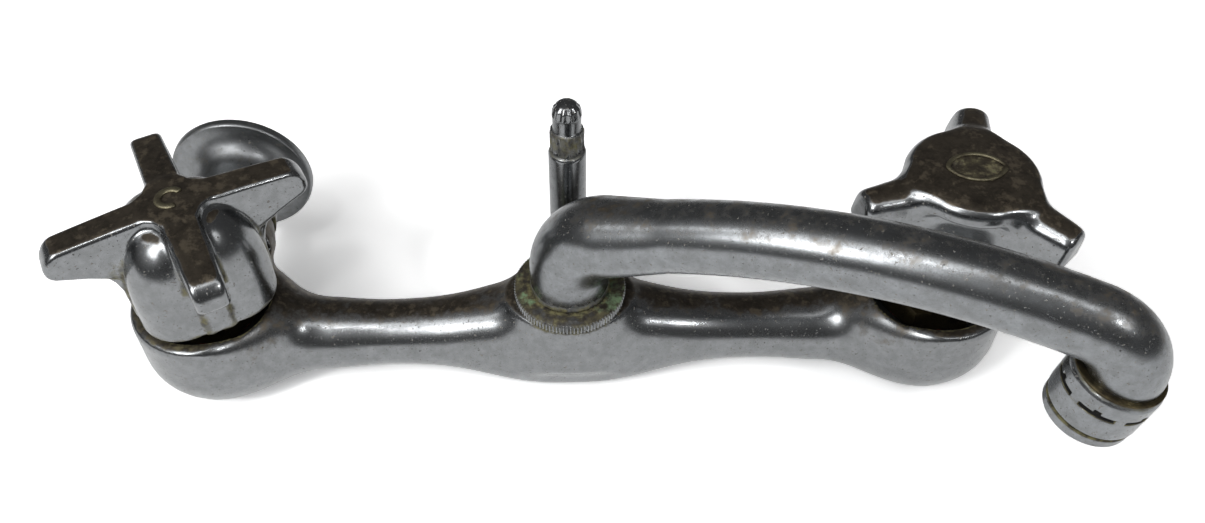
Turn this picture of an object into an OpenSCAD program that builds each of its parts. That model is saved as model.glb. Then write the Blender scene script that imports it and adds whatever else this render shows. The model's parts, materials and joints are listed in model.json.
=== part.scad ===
// Wall-mounted mixing faucet base with two supply valves, a centre control valve and an arched swing spout.
// Millimetres. The origin is midway between the two supply axes, in the plane of the wall.
// +X runs along the body, +Y goes into the wall, +Z is up.

/* [Layout] */
// Distance between the axes of the two supply valves
valve_spacing = 203.2; // [190:0.1:216]
// Distance from the wall to the axes of the supply valves and the spout
wall_reach = 51; // [50:0.5:56]
// How far the axis of the bar lies under the rims of the cups
bar_drop = 18.5; // [17.5:0.25:20]

/* [Body casting] */
// Outer radius of an end lobe
lobe_r = 21.6; // [20.6:0.1:22.6]
// Depth of an end lobe under its rim
lobe_depth = 33.5; // [33:0.25:36]
// Radius of the round between the wall and the bottom of a lobe
lobe_corner_r = 19; // [16:0.5:20]
// Radius of the rounded rim edges
rim_round = 1.5; // [0.8:0.1:2]
// Inner radius of the cup round each bonnet
cup_r = 17.6; // [16.5:0.1:18.4]
// Depth of the cup
cup_depth = 7; // [6:0.25:8]
// Radius of the bar at its waists
bar_r = 9.4; // [8.8:0.1:10.2]
// Distance from the spout axis to each waist
waist_x = 51; // [46:0.5:54]
// Radius of the long arcs that flare the bar at both sides of a waist
waist_arc_r = 105; // [90:1:130]
// Largest radius of the bar where it meets a lobe
flare_r = 14.8; // [13:0.1:14.9]
// Radius of the bar at the spout axis
crown_r = 14.8; // [14:0.1:15]
// Radius of the bowl under the spout
centre_r = 17.6; // [17.2:0.1:19]
// Radius of the round under the centre bowl
centre_corner_r = 14; // [12:0.5:16]
// Radius of the waterway along the bar
waterway_r = 5.5; // [4.5:0.1:6]

/* [Inlets] */
// Outer radius of an inlet arm where it leaves the lobe
arm_r = 14.8; // [14:0.1:15]
// Outer radius of an inlet arm at its end
arm_end_r = 13; // [12.4:0.1:13.6]
// Distance from a supply valve's axis to the end face of its arm
arm_reach = 28; // [27.5:0.25:29]
// Radius of the threaded bore in an inlet arm
arm_bore_r = 9.6; // [9:0.1:10]
// Length of the threaded bore in an inlet arm
arm_bore_len = 4.8; // [4:0.1:5]
// Radius of the rim of the wall flange
flange_r = 21.4; // [20:0.1:24]
// Radius of the coupling's neck in front of the flange
neck_r = 12.4; // [12:0.1:13.2]
// Radius of the coupling at the arm's end
neck_front_r = 13.8; // [13.4:0.1:14.4]
// Radius of the flare between the neck and the flange
flange_flare_r = 8; // [6:0.25:9]
// Thickness of the flange's rolled rim
flange_rim = 3; // [2.4:0.1:4]
// Radius of the pipe thread in the coupling
pipe_thread_r = 10; // [9.5:0.1:10.4]
// Length of the pipe thread in the coupling
pipe_thread_len = 11; // [9:0.5:12]

/* [Valves] */
// Lead of a stem's thread, in one turn
stem_lead = 2.54; // [2:0.01:3]
// Turns from closed to fully open
open_turns = 1.5; // [1:0.25:1.5]
// Radius of a supply bonnet's thread
bonnet_thread_r = 11; // [10.5:0.1:11.4]
// Radius across the corners of a supply bonnet's hexagon
bonnet_hex_r = 15; // [14.2:0.1:15.6]
// Radius of a supply stem's shaft
stem_r = 4.6; // [4.2:0.1:4.8]
// Radius of a supply stem's thread
stem_thread_r = 6.5; // [6:0.1:6.8]
// Radius of a supply valve's rubber washer
washer_r = 6.3; // [5.6:0.1:6.5]
// Height of the left stem's top over the rim of its cup
left_stem_top = 31; // [30:0.5:32]
// Height of the right stem's top over the rim of its cup
right_stem_top = 37; // [36:0.5:38]

/* [Centre valve] */
// Distance from the spout axis back to the axis of the centre valve
centre_back = 26; // [25.5:0.25:27]
// Outer radius of the centre valve's boss
boss_r = 12.5; // [12.2:0.1:13.5]
// How far the top of the boss lies under the rims of the cups
boss_drop = 17; // [16.5:0.25:17.5]
// Radius of the centre stem's shaft
centre_stem_r = 5.4; // [5:0.1:5.5]
// Height of the shoulder at the top of the centre stem's shaft
centre_shoulder_z = 24; // [22:0.5:28]
// Radius of the splined part of the centre stem
spline_r = 4.8; // [4.4:0.1:4.9]
// Length of the splined part
spline_len = 9; // [7:0.5:11]
// Number of splines
spline_count = 16; // [12:1:20]
// Radius of the stem's tip
tip_r = 3.85; // [3.4:0.05:4]
// Length of the stem's tip with its dome
tip_len = 12; // [9:0.5:13]
// Radius of the threaded outlet behind the centre valve
port_thread_r = 4.9; // [4.4:0.1:5.2]
// Outer radius of that outlet's boss
port_r = 7.5; // [7.2:0.1:8]
// Length of the outlet's thread
port_thread_len = 6; // [4:0.25:6]

/* [Left handle] */
// Radius of the bell at its lower edge
bell_r = 21; // [20.4:0.1:21.6]
// Gap between a cup's rim and the bell over it
bell_gap = 3.5; // [3:0.1:5]
// Radius of the arc that the bell's side follows
bell_arc_r = 30; // [28:0.5:32]
// Wall of the bell
bell_wall = 2.4; // [2:0.1:2.6]
// Radius at the tips of the four arms
cross_r = 34.1; // [31:0.1:36]
// Height of the top of the hub over the cup's rim
cross_top_z = 37; // [36.8:0.1:39]
// Width of an arm at the hub
cross_root_w = 9.5; // [8:0.1:11]
// Width of an arm at its tip
cross_tip_w = 6.5; // [5:0.1:7.5]
// Drop of an arm's top from the hub to its tip
cross_droop = 2.5; // [1:0.1:3.5]
// Depth of an arm at its tip
cross_tip_depth = 8; // [6:0.1:9]
// Plan angle of the first arm at rest
cross_angle = 28.2; // [0:0.1:89]

/* [Right handle] */
// Radius of the top disc
disc_r = 17; // [15.5:0.1:18]
// Height of the top of the disc over the cup's rim
disc_top_z = 42.8; // [42.5:0.1:45]
// Thickness of the disc at its edge
disc_edge = 4; // [3:0.1:5]
// Radius of the skirt under the disc
skirt_r = 14.8; // [14:0.1:15.4]
// Height of the skirt's lower edge over the cup's rim
skirt_bottom_z = 13; // [11:0.5:16]
// Radius at the tips of the three arms
tri_r = 29.6; // [26:0.1:30]
// Width of an arm
tri_w = 6.6; // [5.5:0.1:8]
// Depth of an arm at its tip
tri_tip_depth = 10; // [8:0.1:12]
// Drop of an arm's top under the disc's top
tri_drop = 3.2; // [2:0.1:4]
// Plan angle of the first arm at rest
tri_angle = 73; // [0:0.1:119]
// Radius of the round ends of the oval on the disc
emblem_r = 4.6; // [4:0.1:4.8]
// Distance from the oval's middle to the middle of each round end
emblem_half = 2.4; // [1:0.1:5]

/* [Spout] */
// Plan angle of the spout at rest, from +X
spout_angle = -24; // [-30:0.5:-20]
// Distance from the spout's swivel axis to its outlet
spout_reach = 134.5; // [125:0.1:150]
// Height of the straight foot of the tube over the cups' rims
base_rise = 8.5; // [7.5:0.1:10]
// Slope at which the arm leaves the base elbow
rise_slope = 22; // [18:0.5:26]
// Length of the straight cone between the base elbow and the arch
cone_len = 18; // [12:0.5:24]
// Slope at which the arm enters the outlet elbow
drop_slope = 8; // [4:0.5:12]
// Bend radius of the elbow at the base
base_bend_r = 17; // [15:0.5:20]
// Bend radius of the elbow at the outlet
outlet_bend_r = 12; // [11:0.25:14]
// Outer radius of the tube at the base
tube_base_r = 11; // [10.6:0.1:11.4]
// Outer radius of the tube along the arch
tube_r = 9.2; // [9:0.1:10]
// Wall of the tube
tube_wall = 1.8; // [1.4:0.1:2.2]
// Radius of the shank that turns in the body
shank_r = 9.5; // [9:0.1:9.8]
// Length of the shank under the rims of the cups
shank_len = 16; // [15:0.25:17]
// Radius of the knurled head of the spout nut
nut_r = 15.8; // [15:0.1:16.4]
// Height of the knurled head
nut_h = 3.2; // [2.6:0.1:4]
// Number of knurls round the nut
knurl_count = 60; // [48:1:72]

/* [Aerator] */
// Outer radius of the aerator's housing
aerator_r = 10.6; // [10.5:0.1:11.8]
// Height of the housing
housing_h = 13.4; // [12:0.1:15]
// Height of the ring under the housing
lower_ring_h = 3.4; // [2.5:0.1:4.5]
// Thickness of the brass collar over the housing
collar_h = 0.8; // [0.6:0.1:1.2]
// Height of the air slots
slot_h = 1.2; // [0.8:0.1:1.6]

/* [Hidden] */
$fn = 96;
fit = 0.05;           // radial clearance of a running or threaded fit
seat_gap = 0.3;       // distance that keeps two pieces that move apart from touching
over = 1;             // how far a cut runs past a face

valve_x = valve_spacing / 2;
valve_y = -wall_reach;
lift = stem_lead * open_turns;

// body
waist_r = bar_r + waist_arc_r;
crown_reach = (waist_x * waist_x - 2 * waist_arc_r * (crown_r - bar_r)) / waist_x;   // crown to flare
crown_arc_r = waist_arc_r * crown_reach / (waist_x - crown_reach);
bar_half = valve_x - lobe_r / 2;
seat_plane_z = -2;

// supply valves, measured from the rim of the cup
thread_len = 8;
chamber_h = 4;
seat_h = 5;
seat_r = 7.2;
seat_bore_r = 4;
chamber_r = bonnet_thread_r - 0.5;
seat_z = -(cup_depth + thread_len + chamber_h);
seat_pocket_z = seat_z - seat_h;
passage_r = 2.8;
passage_z = seat_pocket_z - passage_r - 0.8;
riser_r = 3;
riser_y = arm_reach - riser_r - 2.2;
riser_top = -5;
riser_boss_r = 8.4;
riser_boss_y = arm_reach - riser_boss_r - 0.1;
riser_boss_foot = passage_z - passage_r - 1.4;
gasket_h = 0.8;
holder_wall = 1.3;
washer_h = 3;
holder_h = 4.2;
holder_lift = 1.1;    // holder's lower edge over the seat
pivot_r = 2;
pivot_len = 5;
screw_r = 1.5;
stem_foot_z = seat_z + holder_lift + holder_h + seat_gap;
stem_thread_top = -6;
bonnet_top_bore_z = stem_thread_top + lift + 0.6;
bonnet_foot_z = seat_z + chamber_h + 0.4;
holder_room_z = seat_z + holder_lift + holder_h + lift + seat_gap;
bonnet_hex_z = -cup_depth + gasket_h;
bonnet_hex_top = 1;
bonnet_neck_r = 9;
bonnet_neck_top = 12;
packing_r = 7;
packing_z = 13.5;
packing_top = 18.7;
packing_thread_r = 8;
packing_nut_r = 10.2;
packing_nut_top = 21;
spline_fit_r = stem_r - 0.3;
spline_depth = 0.5;

// centre valve
centre_y = valve_y + centre_back;
boss_top_z = -boss_drop;
c_seat_z = -27;
c_seat_r = 5.6;
c_seat_h = 3;
c_seat_bore_r = 3;
c_washer_r = 5;
c_chamber_r = 8.4;
c_thread_r = 8.8;
c_spot_r = 11.2;      // flat that is faced round the top of the boss
c_collar_r = 10.4;
c_collar_h = 1.2;
c_hex_r = 10.2;
c_passage_r = 2.3;
c_passage_z = c_seat_z - c_seat_h + 0.4;
c_bonnet_foot_z = c_seat_z + 6;
c_holder_room_z = c_seat_z + holder_lift + holder_h + lift + seat_gap;
c_hex_z = boss_top_z + gasket_h;
c_hex_top = c_hex_z + 3.8;
c_neck_r = 7.4;
c_neck_top = c_hex_top + 4.5;
c_packing_r = 6.7;
c_packing_z = c_hex_top + 1;
c_nut_r = 8.8;
c_nut_top = c_neck_top + 2;
c_stem_foot_z = c_seat_z + holder_lift + holder_h + seat_gap;
spline_top_z = centre_shoulder_z + spline_len;
tip_dome_h = 2.4;
port_z = -24.2;
port_end = centre_back + 15;
port_bore_r = 2.6;

// handles
bell_centre = bell_r - bell_arc_r;      // centre of the arc of the bell's side
hub_r = 10;
hub_floor_z = packing_nut_top + 3;
button_r = 5;
button_h = 2;
emblem_wall = 0.9;
emblem_h = 0.6;
screw_head_r = 4;
screw_head_h = 2;
handle_screw_r = 1.9;
web_h = 1.5;

// spout
elbow_x = base_bend_r * (1 - sin(rise_slope));
arch_start = [elbow_x + cone_len * cos(rise_slope),
              base_rise + base_bend_r * cos(rise_slope) + cone_len * sin(rise_slope)];
arch_run = spout_reach - arch_start[0] - outlet_bend_r * (1 - sin(drop_slope));
arch_r = arch_run / (sin(rise_slope) + sin(drop_slope));
arch_peak_z = arch_start[1] + arch_r * (1 - cos(rise_slope));
outlet_z = arch_peak_z - arch_r * (1 - cos(drop_slope)) - outlet_bend_r * cos(drop_slope);
tube_foot_z = seat_plane_z + nut_h + 0.4;
tube_lap = 0.5;       // how far each piece of the tube reaches back into the one before it
tube_step = 0.05;     // how much thinner it is than that one
outlet_r = aerator_r - 0.3;
nut_skirt_r = 13.4;
nut_skirt_len = 4.6;
snap_r = 11.4;
snap_h = 1.6;
snap_groove = 0.9;
snap_z = seat_plane_z - nut_skirt_len - seat_gap - snap_h;
socket_floor_z = -shank_len - 1;
recess_z = seat_plane_z - nut_skirt_len - snap_h - 2 * seat_gap;
seal_z = -10.4;
seal_h = 2.2;

// aerator
nipple_r = aerator_r - 1.5;
nipple_len = 3.2;
housing_top = outlet_z - collar_h;
housing_bottom = housing_top - housing_h;
slot_z = housing_top - 4.6;
insert_r = aerator_r - 1.7;
insert_h = 8;
lower_ring_r = aerator_r - 0.9;

// ---------- helpers ----------

module at_left() { translate([-valve_x, valve_y, 0]) children(); }
module at_right() { translate([valve_x, valve_y, 0]) children(); }
module at_centre_valve() { translate([0, centre_y, 0]) children(); }
module at_spout() { translate([0, valve_y, 0]) rotate([0, 0, spout_angle]) children(); }

// A cylinder or cone between two heights
module post(r, z1, z2, r2 = undef) {
  translate([0, 0, z1]) cylinder(h = z2 - z1, r1 = r, r2 = is_undef(r2) ? r : r2);
}

// A ring between two heights
module ring(r_out, r_in, z1, z2) {
  difference() {
    post(r_out, z1, z2);
    post(r_in, z1 - over, z2 + over);
  }
}

// A hexagonal prism between two heights
module hexagon(r, z1, z2) { translate([0, 0, z1]) cylinder(h = z2 - z1, r = r, $fn = 6); }

// A cylinder along +Y between two distances behind the local axis
module back_rod(r, y1, y2, z, r2 = undef) {
  translate([0, y1, z]) rotate([-90, 0, 0]) cylinder(h = y2 - y1, r1 = r, r2 = is_undef(r2) ? r : r2);
}

// ---------- body ----------

// Half section of a bowl with a rounded bottom corner and a rounded rim
module bowl_section(r, depth, corner) {
  translate([0, -depth]) square([r - corner, depth - rim_round]);
  translate([0, corner - depth]) square([r, depth - corner - rim_round]);
  translate([r - corner, corner - depth]) intersection() {
    circle(corner);
    translate([0, -corner]) square(corner);
  }
  translate([0, -rim_round - over]) square([r - rim_round, rim_round + over]);
  translate([r - rim_round, -rim_round]) intersection() {
    circle(rim_round);
    square(rim_round);
  }
}

// Half section of the bar: a crown at the spout, a waist on each side and a flare into each lobe
module bar_section() {
  difference() {
    intersection() {
      translate([0, -bar_half]) square([crown_r, 2 * bar_half]);
      union() {
        translate([0, -bar_half]) square([flare_r, 2 * bar_half]);
        translate([0, -waist_x]) square([crown_r, 2 * waist_x]);
      }
    }
    for (side = [-1, 1]) translate([waist_r, side * waist_x]) circle(waist_arc_r, $fn = 240);
    difference() {
      translate([0, -crown_reach]) square([crown_r + over, 2 * crown_reach]);
      translate([crown_r - crown_arc_r, 0]) circle(crown_arc_r, $fn = 240);
    }
  }
}

// The short arm behind a lobe that takes the inlet coupling, and the boss round its riser
module inlet_arm() {
  difference() {
    union() {
      back_rod(arm_r, lobe_r / 3, arm_reach, 0, arm_end_r);
      translate([0, riser_boss_y, 0]) post(riser_boss_r, riser_boss_foot, riser_top);
    }
    post(lobe_r + 0.2, 0, arm_r + over);
  }
}

// Everything that is cut away round one supply valve
module supply_cuts() {
  post(cup_r, -cup_depth, over);
  post(bonnet_thread_r, -cup_depth - thread_len, -cup_depth + over);
  post(chamber_r, seat_z, -cup_depth);
  post(seat_r, seat_pocket_z, seat_z + over);
  post(seat_bore_r, passage_z, seat_pocket_z + over);
  back_rod(passage_r, 0, riser_y, passage_z);
  translate([0, riser_y, 0]) post(riser_r, passage_z - passage_r / 2, riser_top);
  back_rod(arm_bore_r, arm_reach - arm_bore_len, arm_reach + over, 0);
}

// Everything that is cut away for the spout and its nut
module spout_cuts() {
  post(shank_r + fit, socket_floor_z, over);
  post(nut_skirt_r + fit, recess_z, over);
  post(3.2, c_passage_z, 0);
}

// Everything that is cut away for the centre valve
module centre_cuts() {
  post(c_spot_r, boss_top_z, seat_plane_z + over);
  post(c_thread_r + fit, c_bonnet_foot_z, boss_top_z + over);
  post(c_chamber_r, c_seat_z, boss_top_z);
  post(c_seat_r + fit, c_seat_z - c_seat_h, c_seat_z + over);
  post(c_seat_bore_r, c_passage_z - c_passage_r + 0.5, c_seat_z);
  back_rod(c_passage_r, -centre_back, 0, c_passage_z);
  back_rod(port_bore_r, c_chamber_r - 2, port_end - centre_back, port_z);
  back_rod(port_thread_r, port_end - centre_back - port_thread_len, port_end - centre_back + over, port_z);
}

module body_casting() {
  color([0.66, 0.67, 0.68]) difference() {
    union() {
      for (side = [-1, 1]) translate([side * valve_x, valve_y, 0]) {
        rotate_extrude() bowl_section(lobe_r, lobe_depth, lobe_corner_r);
        inlet_arm();
      }
      translate([0, valve_y, -bar_drop]) rotate([0, 90, 0]) rotate_extrude() bar_section();
      translate([0, valve_y, seat_plane_z])
        rotate_extrude() bowl_section(centre_r, lobe_depth + seat_plane_z - 0.5, centre_corner_r);
      at_centre_valve() {
        post(boss_r, -lobe_depth + 0.3, boss_top_z);
        back_rod(port_r, 0, port_end - centre_back, port_z);
      }
    }
    for (side = [-1, 1]) {
      translate([side * valve_x, valve_y, 0]) supply_cuts();
      translate([0, valve_y, -bar_drop]) rotate([0, side * 90, 0])
        cylinder(h = valve_x - seat_r - 1.4, r = waterway_r);
    }
    translate([0, valve_y, 0]) spout_cuts();
    at_centre_valve() centre_cuts();
    translate([0, valve_y, seat_plane_z]) post(centre_r + 4, 0, crown_r);
  }
}

// ---------- inlet coupling ----------

// The neck flares into a dished flange that lies against the wall
module inlet_coupling() {
  front = -wall_reach + arm_reach + gasket_h;
  flare_start = -flange_rim - flange_flare_r;
  tail = front - gasket_h - arm_bore_len + 0.5;
  color([0.74, 0.75, 0.76]) translate([-valve_x, 0, 0]) rotate([-90, 0, 0]) difference() {
    union() {
      post(neck_front_r, front, flare_start, neck_r);
      post(neck_r, flare_start - over, -1);
      rotate_extrude() difference() {
        translate([neck_r - over, flare_start]) square([flange_r - neck_r + over, -flare_start]);
        translate([neck_r + flange_flare_r, flare_start]) circle(flange_flare_r);
        translate([neck_r + flange_flare_r, flare_start - over]) square([flange_r, flange_flare_r + over]);
      }
      post(arm_bore_r - fit, tail, front + over);
    }
    post(pipe_thread_r, -pipe_thread_len, over);
    post(arm_bore_r - 2.6, tail - over, -over);
    ring(flange_r - 2, neck_r + 1.5, -flange_rim + 1.4, over);
  }
}

module inlet_gasket() {
  front = -wall_reach + arm_reach;
  color([0.16, 0.15, 0.14]) translate([-valve_x, 0, 0]) rotate([-90, 0, 0])
    ring(arm_end_r - 0.3, arm_bore_r + 0.1, front, front + gasket_h);
}

// ---------- supply valves ----------

module bonnet() {
  color([0.72, 0.6, 0.36]) difference() {
    union() {
      post(bonnet_thread_r - fit, bonnet_foot_z, bonnet_hex_z);
      hexagon(bonnet_hex_r, bonnet_hex_z, bonnet_hex_top);
      post(bonnet_neck_r, bonnet_hex_top, bonnet_neck_top);
      post(packing_thread_r, bonnet_neck_top, packing_top);
    }
    post(washer_r + holder_wall + 0.5, bonnet_foot_z - over, holder_room_z);
    post(stem_thread_r + fit, bonnet_foot_z, bonnet_top_bore_z);
    post(stem_r + fit, bonnet_top_bore_z - over, packing_top + over);
    post(packing_r, packing_z, packing_top + over);
  }
}

module bonnet_gasket() {
  color([0.5, 0.2, 0.14]) ring(bonnet_hex_r * cos(30) - 0.4, bonnet_thread_r + 0.2, -cup_depth, bonnet_hex_z);
}

module packing() {
  color([0.2, 0.19, 0.18]) ring(packing_r - fit, stem_r + fit, packing_z, packing_top);
}

module packing_nut() {
  color([0.75, 0.63, 0.38]) difference() {
    hexagon(packing_nut_r, bonnet_neck_top + seat_gap, packing_nut_top);
    post(packing_thread_r + fit, bonnet_neck_top, packing_top);
    post(stem_r + fit, packing_top - over, packing_nut_top + over);
  }
}

module valve_seat(r, bore, z, h) {
  color([0.7, 0.56, 0.3]) difference() {
    post(r - fit, z - h, z);
    post(bore, z - h - over, z + over);
    hexagon(bore + 0.8, z - h - over, z - h + 1.5);
  }
}

// The washer hangs in the holder; the washer screw closes it from below
module seat_washer(r, z) {
  color([0.1, 0.1, 0.1]) ring(r, screw_r + fit, z + seat_gap, z + seat_gap + washer_h);
}

module washer_screw(z) {
  head_h = 1.2;
  color([0.76, 0.65, 0.4]) {
    difference() {
      post(2.6, z + seat_gap - head_h, z + seat_gap);
      translate([-3, -0.3, z + seat_gap - head_h - over]) cube([6, 0.6, 0.5 + over]);
    }
    post(screw_r, z + seat_gap, z + seat_gap + washer_h + 0.8);
  }
}

// A cup over the washer with a pivot that turns in the foot of the stem
module disc_holder(r, z) {
  foot = z + holder_lift;
  top = foot + holder_h;
  washer_top = z + seat_gap + washer_h;
  color([0.72, 0.6, 0.36]) difference() {
    union() {
      post(r + holder_wall, foot, top);
      post(pivot_r, top, top + pivot_len);
    }
    post(r + fit, foot - over, washer_top);
    post(screw_r + fit, washer_top - over, washer_top + 0.9);
  }
}

// The screw end of a stem, with the socket for the holder's pivot
module stem_foot(r, z1, z2) {
  difference() {
    post(r, z1, z2);
    post(pivot_r + 0.06, z1 - over, z1 + pivot_len + 0.2);
  }
}

// The splined part of a stem, as one outline with four corners to each spline
module splines(r, z1, z2, count) {
  pitch = 360 / count;
  corners = [[-0.3, -spline_depth], [-0.2, 0], [0.2, 0], [0.3, -spline_depth]];
  translate([0, 0, z1]) linear_extrude(z2 - z1)
    polygon([for (i = [0 : count - 1], c = corners)
             (r + c[1]) * [cos(pitch * (i + c[0])), sin(pitch * (i + c[0]))]]);
}

module supply_stem(top) {
  spline_start = hub_floor_z - 0.2;
  color([0.72, 0.6, 0.36]) difference() {
    union() {
      stem_foot(stem_thread_r, stem_foot_z, stem_thread_top);
      post(stem_r, stem_thread_top, spline_start);
      splines(spline_fit_r, spline_start, top, 12);
    }
    post(handle_screw_r + fit, top - 8, top + over);
  }
}

module handle_screw(top) {
  seat = top + 0.1 + web_h;
  color([0.62, 0.62, 0.6]) {
    post(handle_screw_r, top - 7.5, seat);
    difference() {
      post(screw_head_r, seat, seat + screw_head_h);
      translate([-screw_head_r - over, -0.5, seat + screw_head_h - 0.9])
        cube([2 * (screw_head_r + over), 1, 0.9 + over]);
    }
  }
}

// The bore, the screw hole and the button's recess in the hub of a handle
module hub_cuts(stem_top, top) {
  post(spline_fit_r + fit, hub_floor_z - over, stem_top + 0.1);
  post(handle_screw_r + fit, hub_floor_z, top);
  post(screw_head_r + 0.1, stem_top + 0.1 + web_h, top);
  post(button_r, top - button_h, top + over);
}

// ---------- left handle ----------

module bell_section(r_arc) {
  intersection() {
    translate([bell_centre, 0]) circle(r_arc, $fn = 160);
    square([bell_r + over, bell_arc_r]);
  }
}

module cross_arm() {
  tip_top = cross_top_z - cross_droop;
  tip_foot = tip_top - cross_tip_depth;
  tip = cross_r - cross_tip_w / 2;
  intersection() {
    translate([0, 0, bell_gap]) linear_extrude(cross_top_z) {
      polygon([[0, -cross_root_w / 2], [tip, -cross_tip_w / 2],
               [tip, cross_tip_w / 2], [0, cross_root_w / 2]]);
      translate([tip, 0]) circle(cross_tip_w / 2);
    }
    rotate([90, 0, 0]) translate([0, 0, -cross_root_w]) linear_extrude(2 * cross_root_w)
      polygon([[0, cross_top_z], [hub_r, cross_top_z - 0.1], [cross_r, tip_top], [cross_r, tip_foot],
               [0.82 * cross_r, tip_foot - 2.6], [bell_r, tip_foot - 5.6],
               [bell_r - 1.2, bell_gap + 9], [bell_r - 0.4, bell_gap], [0, bell_gap]]);
  }
}

module left_handle() {
  color([0.5, 0.48, 0.46]) at_left() rotate([0, 0, cross_angle]) difference() {
    union() {
      translate([0, 0, bell_gap]) rotate_extrude() bell_section(bell_arc_r);
      for (i = [0 : 3]) rotate([0, 0, 90 * i]) cross_arm();
      post(hub_r, hub_floor_z, cross_top_z);
    }
    intersection() {
      translate([0, 0, bell_gap - 0.01]) rotate_extrude() bell_section(bell_arc_r - bell_wall);
      post(bell_r, 0, hub_floor_z);
    }
    hub_cuts(left_stem_top, cross_top_z);
  }
}

// A plug in the hub with a raised letter C
module left_index_button() {
  color([0.72, 0.66, 0.5]) at_left() {
    post(button_r - fit, cross_top_z - button_h, cross_top_z + 0.1);
    rotate([0, 0, 40]) rotate_extrude(angle = 280) translate([2.5, cross_top_z]) square([1, 0.6]);
  }
}

// ---------- right handle ----------

module tri_arm() {
  top = disc_top_z - tri_drop;
  foot = top - tri_tip_depth;
  tip = tri_r - tri_w / 2;
  intersection() {
    translate([0, 0, foot - 8]) linear_extrude(disc_top_z) {
      translate([0, -tri_w / 2]) square([tip, tri_w]);
      translate([tip, 0]) circle(tri_w / 2);
    }
    rotate([90, 0, 0]) translate([0, 0, -tri_w]) linear_extrude(2 * tri_w)
      polygon([[skirt_r - 3, top + 0.8], [tri_r, top], [tri_r, foot],
               [skirt_r + 4, foot - 2], [skirt_r - 3, foot - 7]]);
  }
}

module right_handle() {
  inner_r = skirt_r - 2.2;
  disc_round = 1.6;
  color([0.52, 0.5, 0.47]) at_right() rotate([0, 0, tri_angle]) difference() {
    union() {
      post(skirt_r, skirt_bottom_z, disc_top_z - 1);
      post(disc_r, disc_top_z - disc_edge, disc_top_z - disc_round);
      post(disc_r - disc_round, disc_top_z - disc_edge, disc_top_z);
      translate([0, 0, disc_top_z - disc_round]) rotate_extrude()
        translate([disc_r - disc_round, 0]) circle(disc_round);
      for (i = [0 : 2]) rotate([0, 0, 120 * i]) tri_arm();
    }
    post(inner_r, skirt_bottom_z - over, hub_floor_z);
    hub_cuts(right_stem_top, disc_top_z);
  }
}

// A plug in the hub with a plain raised oval ring that lies on the disc
module right_index_button() {
  color([0.66, 0.62, 0.55]) at_right() {
    post(button_r - fit, disc_top_z - button_h, disc_top_z + 0.1);
    translate([0, 0, disc_top_z]) linear_extrude(emblem_h) difference() {
      oval(emblem_r);
      oval(emblem_r - emblem_wall);
    }
  }
}

// Two round ends joined by a bar
module oval(r) {
  for (side = [-1, 1]) translate([side * emblem_half, 0]) circle(r);
  translate([-emblem_half, -r]) square([2 * emblem_half, 2 * r]);
}

// ---------- centre valve ----------

module centre_bonnet() {
  color([0.7, 0.58, 0.36]) at_centre_valve() difference() {
    union() {
      post(c_thread_r, c_bonnet_foot_z + 0.4, c_hex_z);
      post(c_collar_r, c_hex_z, c_hex_z + c_collar_h);
      hexagon(c_hex_r, c_hex_z + c_collar_h, c_hex_top);
      post(c_neck_r, c_hex_top, c_neck_top);
    }
    post(c_washer_r + holder_wall + 0.5, c_bonnet_foot_z - over, c_holder_room_z);
    post(centre_stem_r + fit, c_holder_room_z - over, c_neck_top + over);
    post(c_packing_r, c_packing_z, c_neck_top + over);
  }
}

module centre_bonnet_gasket() {
  color([0.5, 0.2, 0.14]) at_centre_valve() ring(c_collar_r - 0.2, c_thread_r + 0.2, boss_top_z, c_hex_z);
}

module centre_packing() {
  color([0.2, 0.19, 0.18]) at_centre_valve()
    ring(c_packing_r - fit, centre_stem_r + fit, c_packing_z, c_neck_top);
}

module centre_packing_nut() {
  color([0.75, 0.63, 0.38]) at_centre_valve() difference() {
    post(c_nut_r, c_hex_top + seat_gap, c_nut_top);
    post(c_neck_r + fit, c_hex_top, c_neck_top);
    post(centre_stem_r + fit, c_neck_top - over, c_nut_top + over);
  }
}

// A bare stem with its splines and a domed tip, as the handle that sat on it is gone
module centre_stem() {
  tip_top = spline_top_z + tip_len;
  color([0.68, 0.68, 0.67]) at_centre_valve() {
    stem_foot(centre_stem_r, c_stem_foot_z, centre_shoulder_z);
    splines(spline_r, centre_shoulder_z, spline_top_z, spline_count);
    post(tip_r, spline_top_z, tip_top - tip_dome_h);
    post(tip_r, tip_top - tip_dome_h, tip_top - tip_dome_h / 3, 0.75 * tip_r);
    post(0.75 * tip_r, tip_top - tip_dome_h / 3, tip_top, 0.4 * tip_r);
  }
}

// ---------- spout ----------

// A bend in the local XZ plane that starts at a point, with its heading there, and turns downwards.
// It reaches back by the lap into the piece before it, which is a little thicker.
module bend(start, heading, turn, bend_r, r) {
  lap_turn = tube_lap / bend_r * 180 / PI;
  translate([start[0] + bend_r * sin(heading), 0, start[1] - bend_r * cos(heading)])
    rotate([90, 0, 0]) rotate([0, 0, 90 + heading - turn])
      rotate_extrude(angle = turn + lap_turn) translate([bend_r, 0]) circle(r);
}

// The spout's path: up, round the base elbow, along a straight cone, over the arch and down
module spout_path(r_base, r_arm) {
  post(r_base, tube_foot_z, base_rise);
  bend([0, base_rise], 90, 90 - rise_slope, base_bend_r, r_base - tube_step);
  translate([elbow_x, 0, base_rise + base_bend_r * cos(rise_slope)]) rotate([0, 90 - rise_slope, 0])
    post(r_base - 2 * tube_step, -tube_lap, cone_len, r_arm);
  bend(arch_start, rise_slope, rise_slope + drop_slope, arch_r, r_arm - tube_step);
  bend([spout_reach - outlet_bend_r * (1 - sin(drop_slope)), outlet_z + outlet_bend_r * cos(drop_slope)],
       -drop_slope, 88 - drop_slope, outlet_bend_r, r_arm - 2 * tube_step);
}

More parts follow.
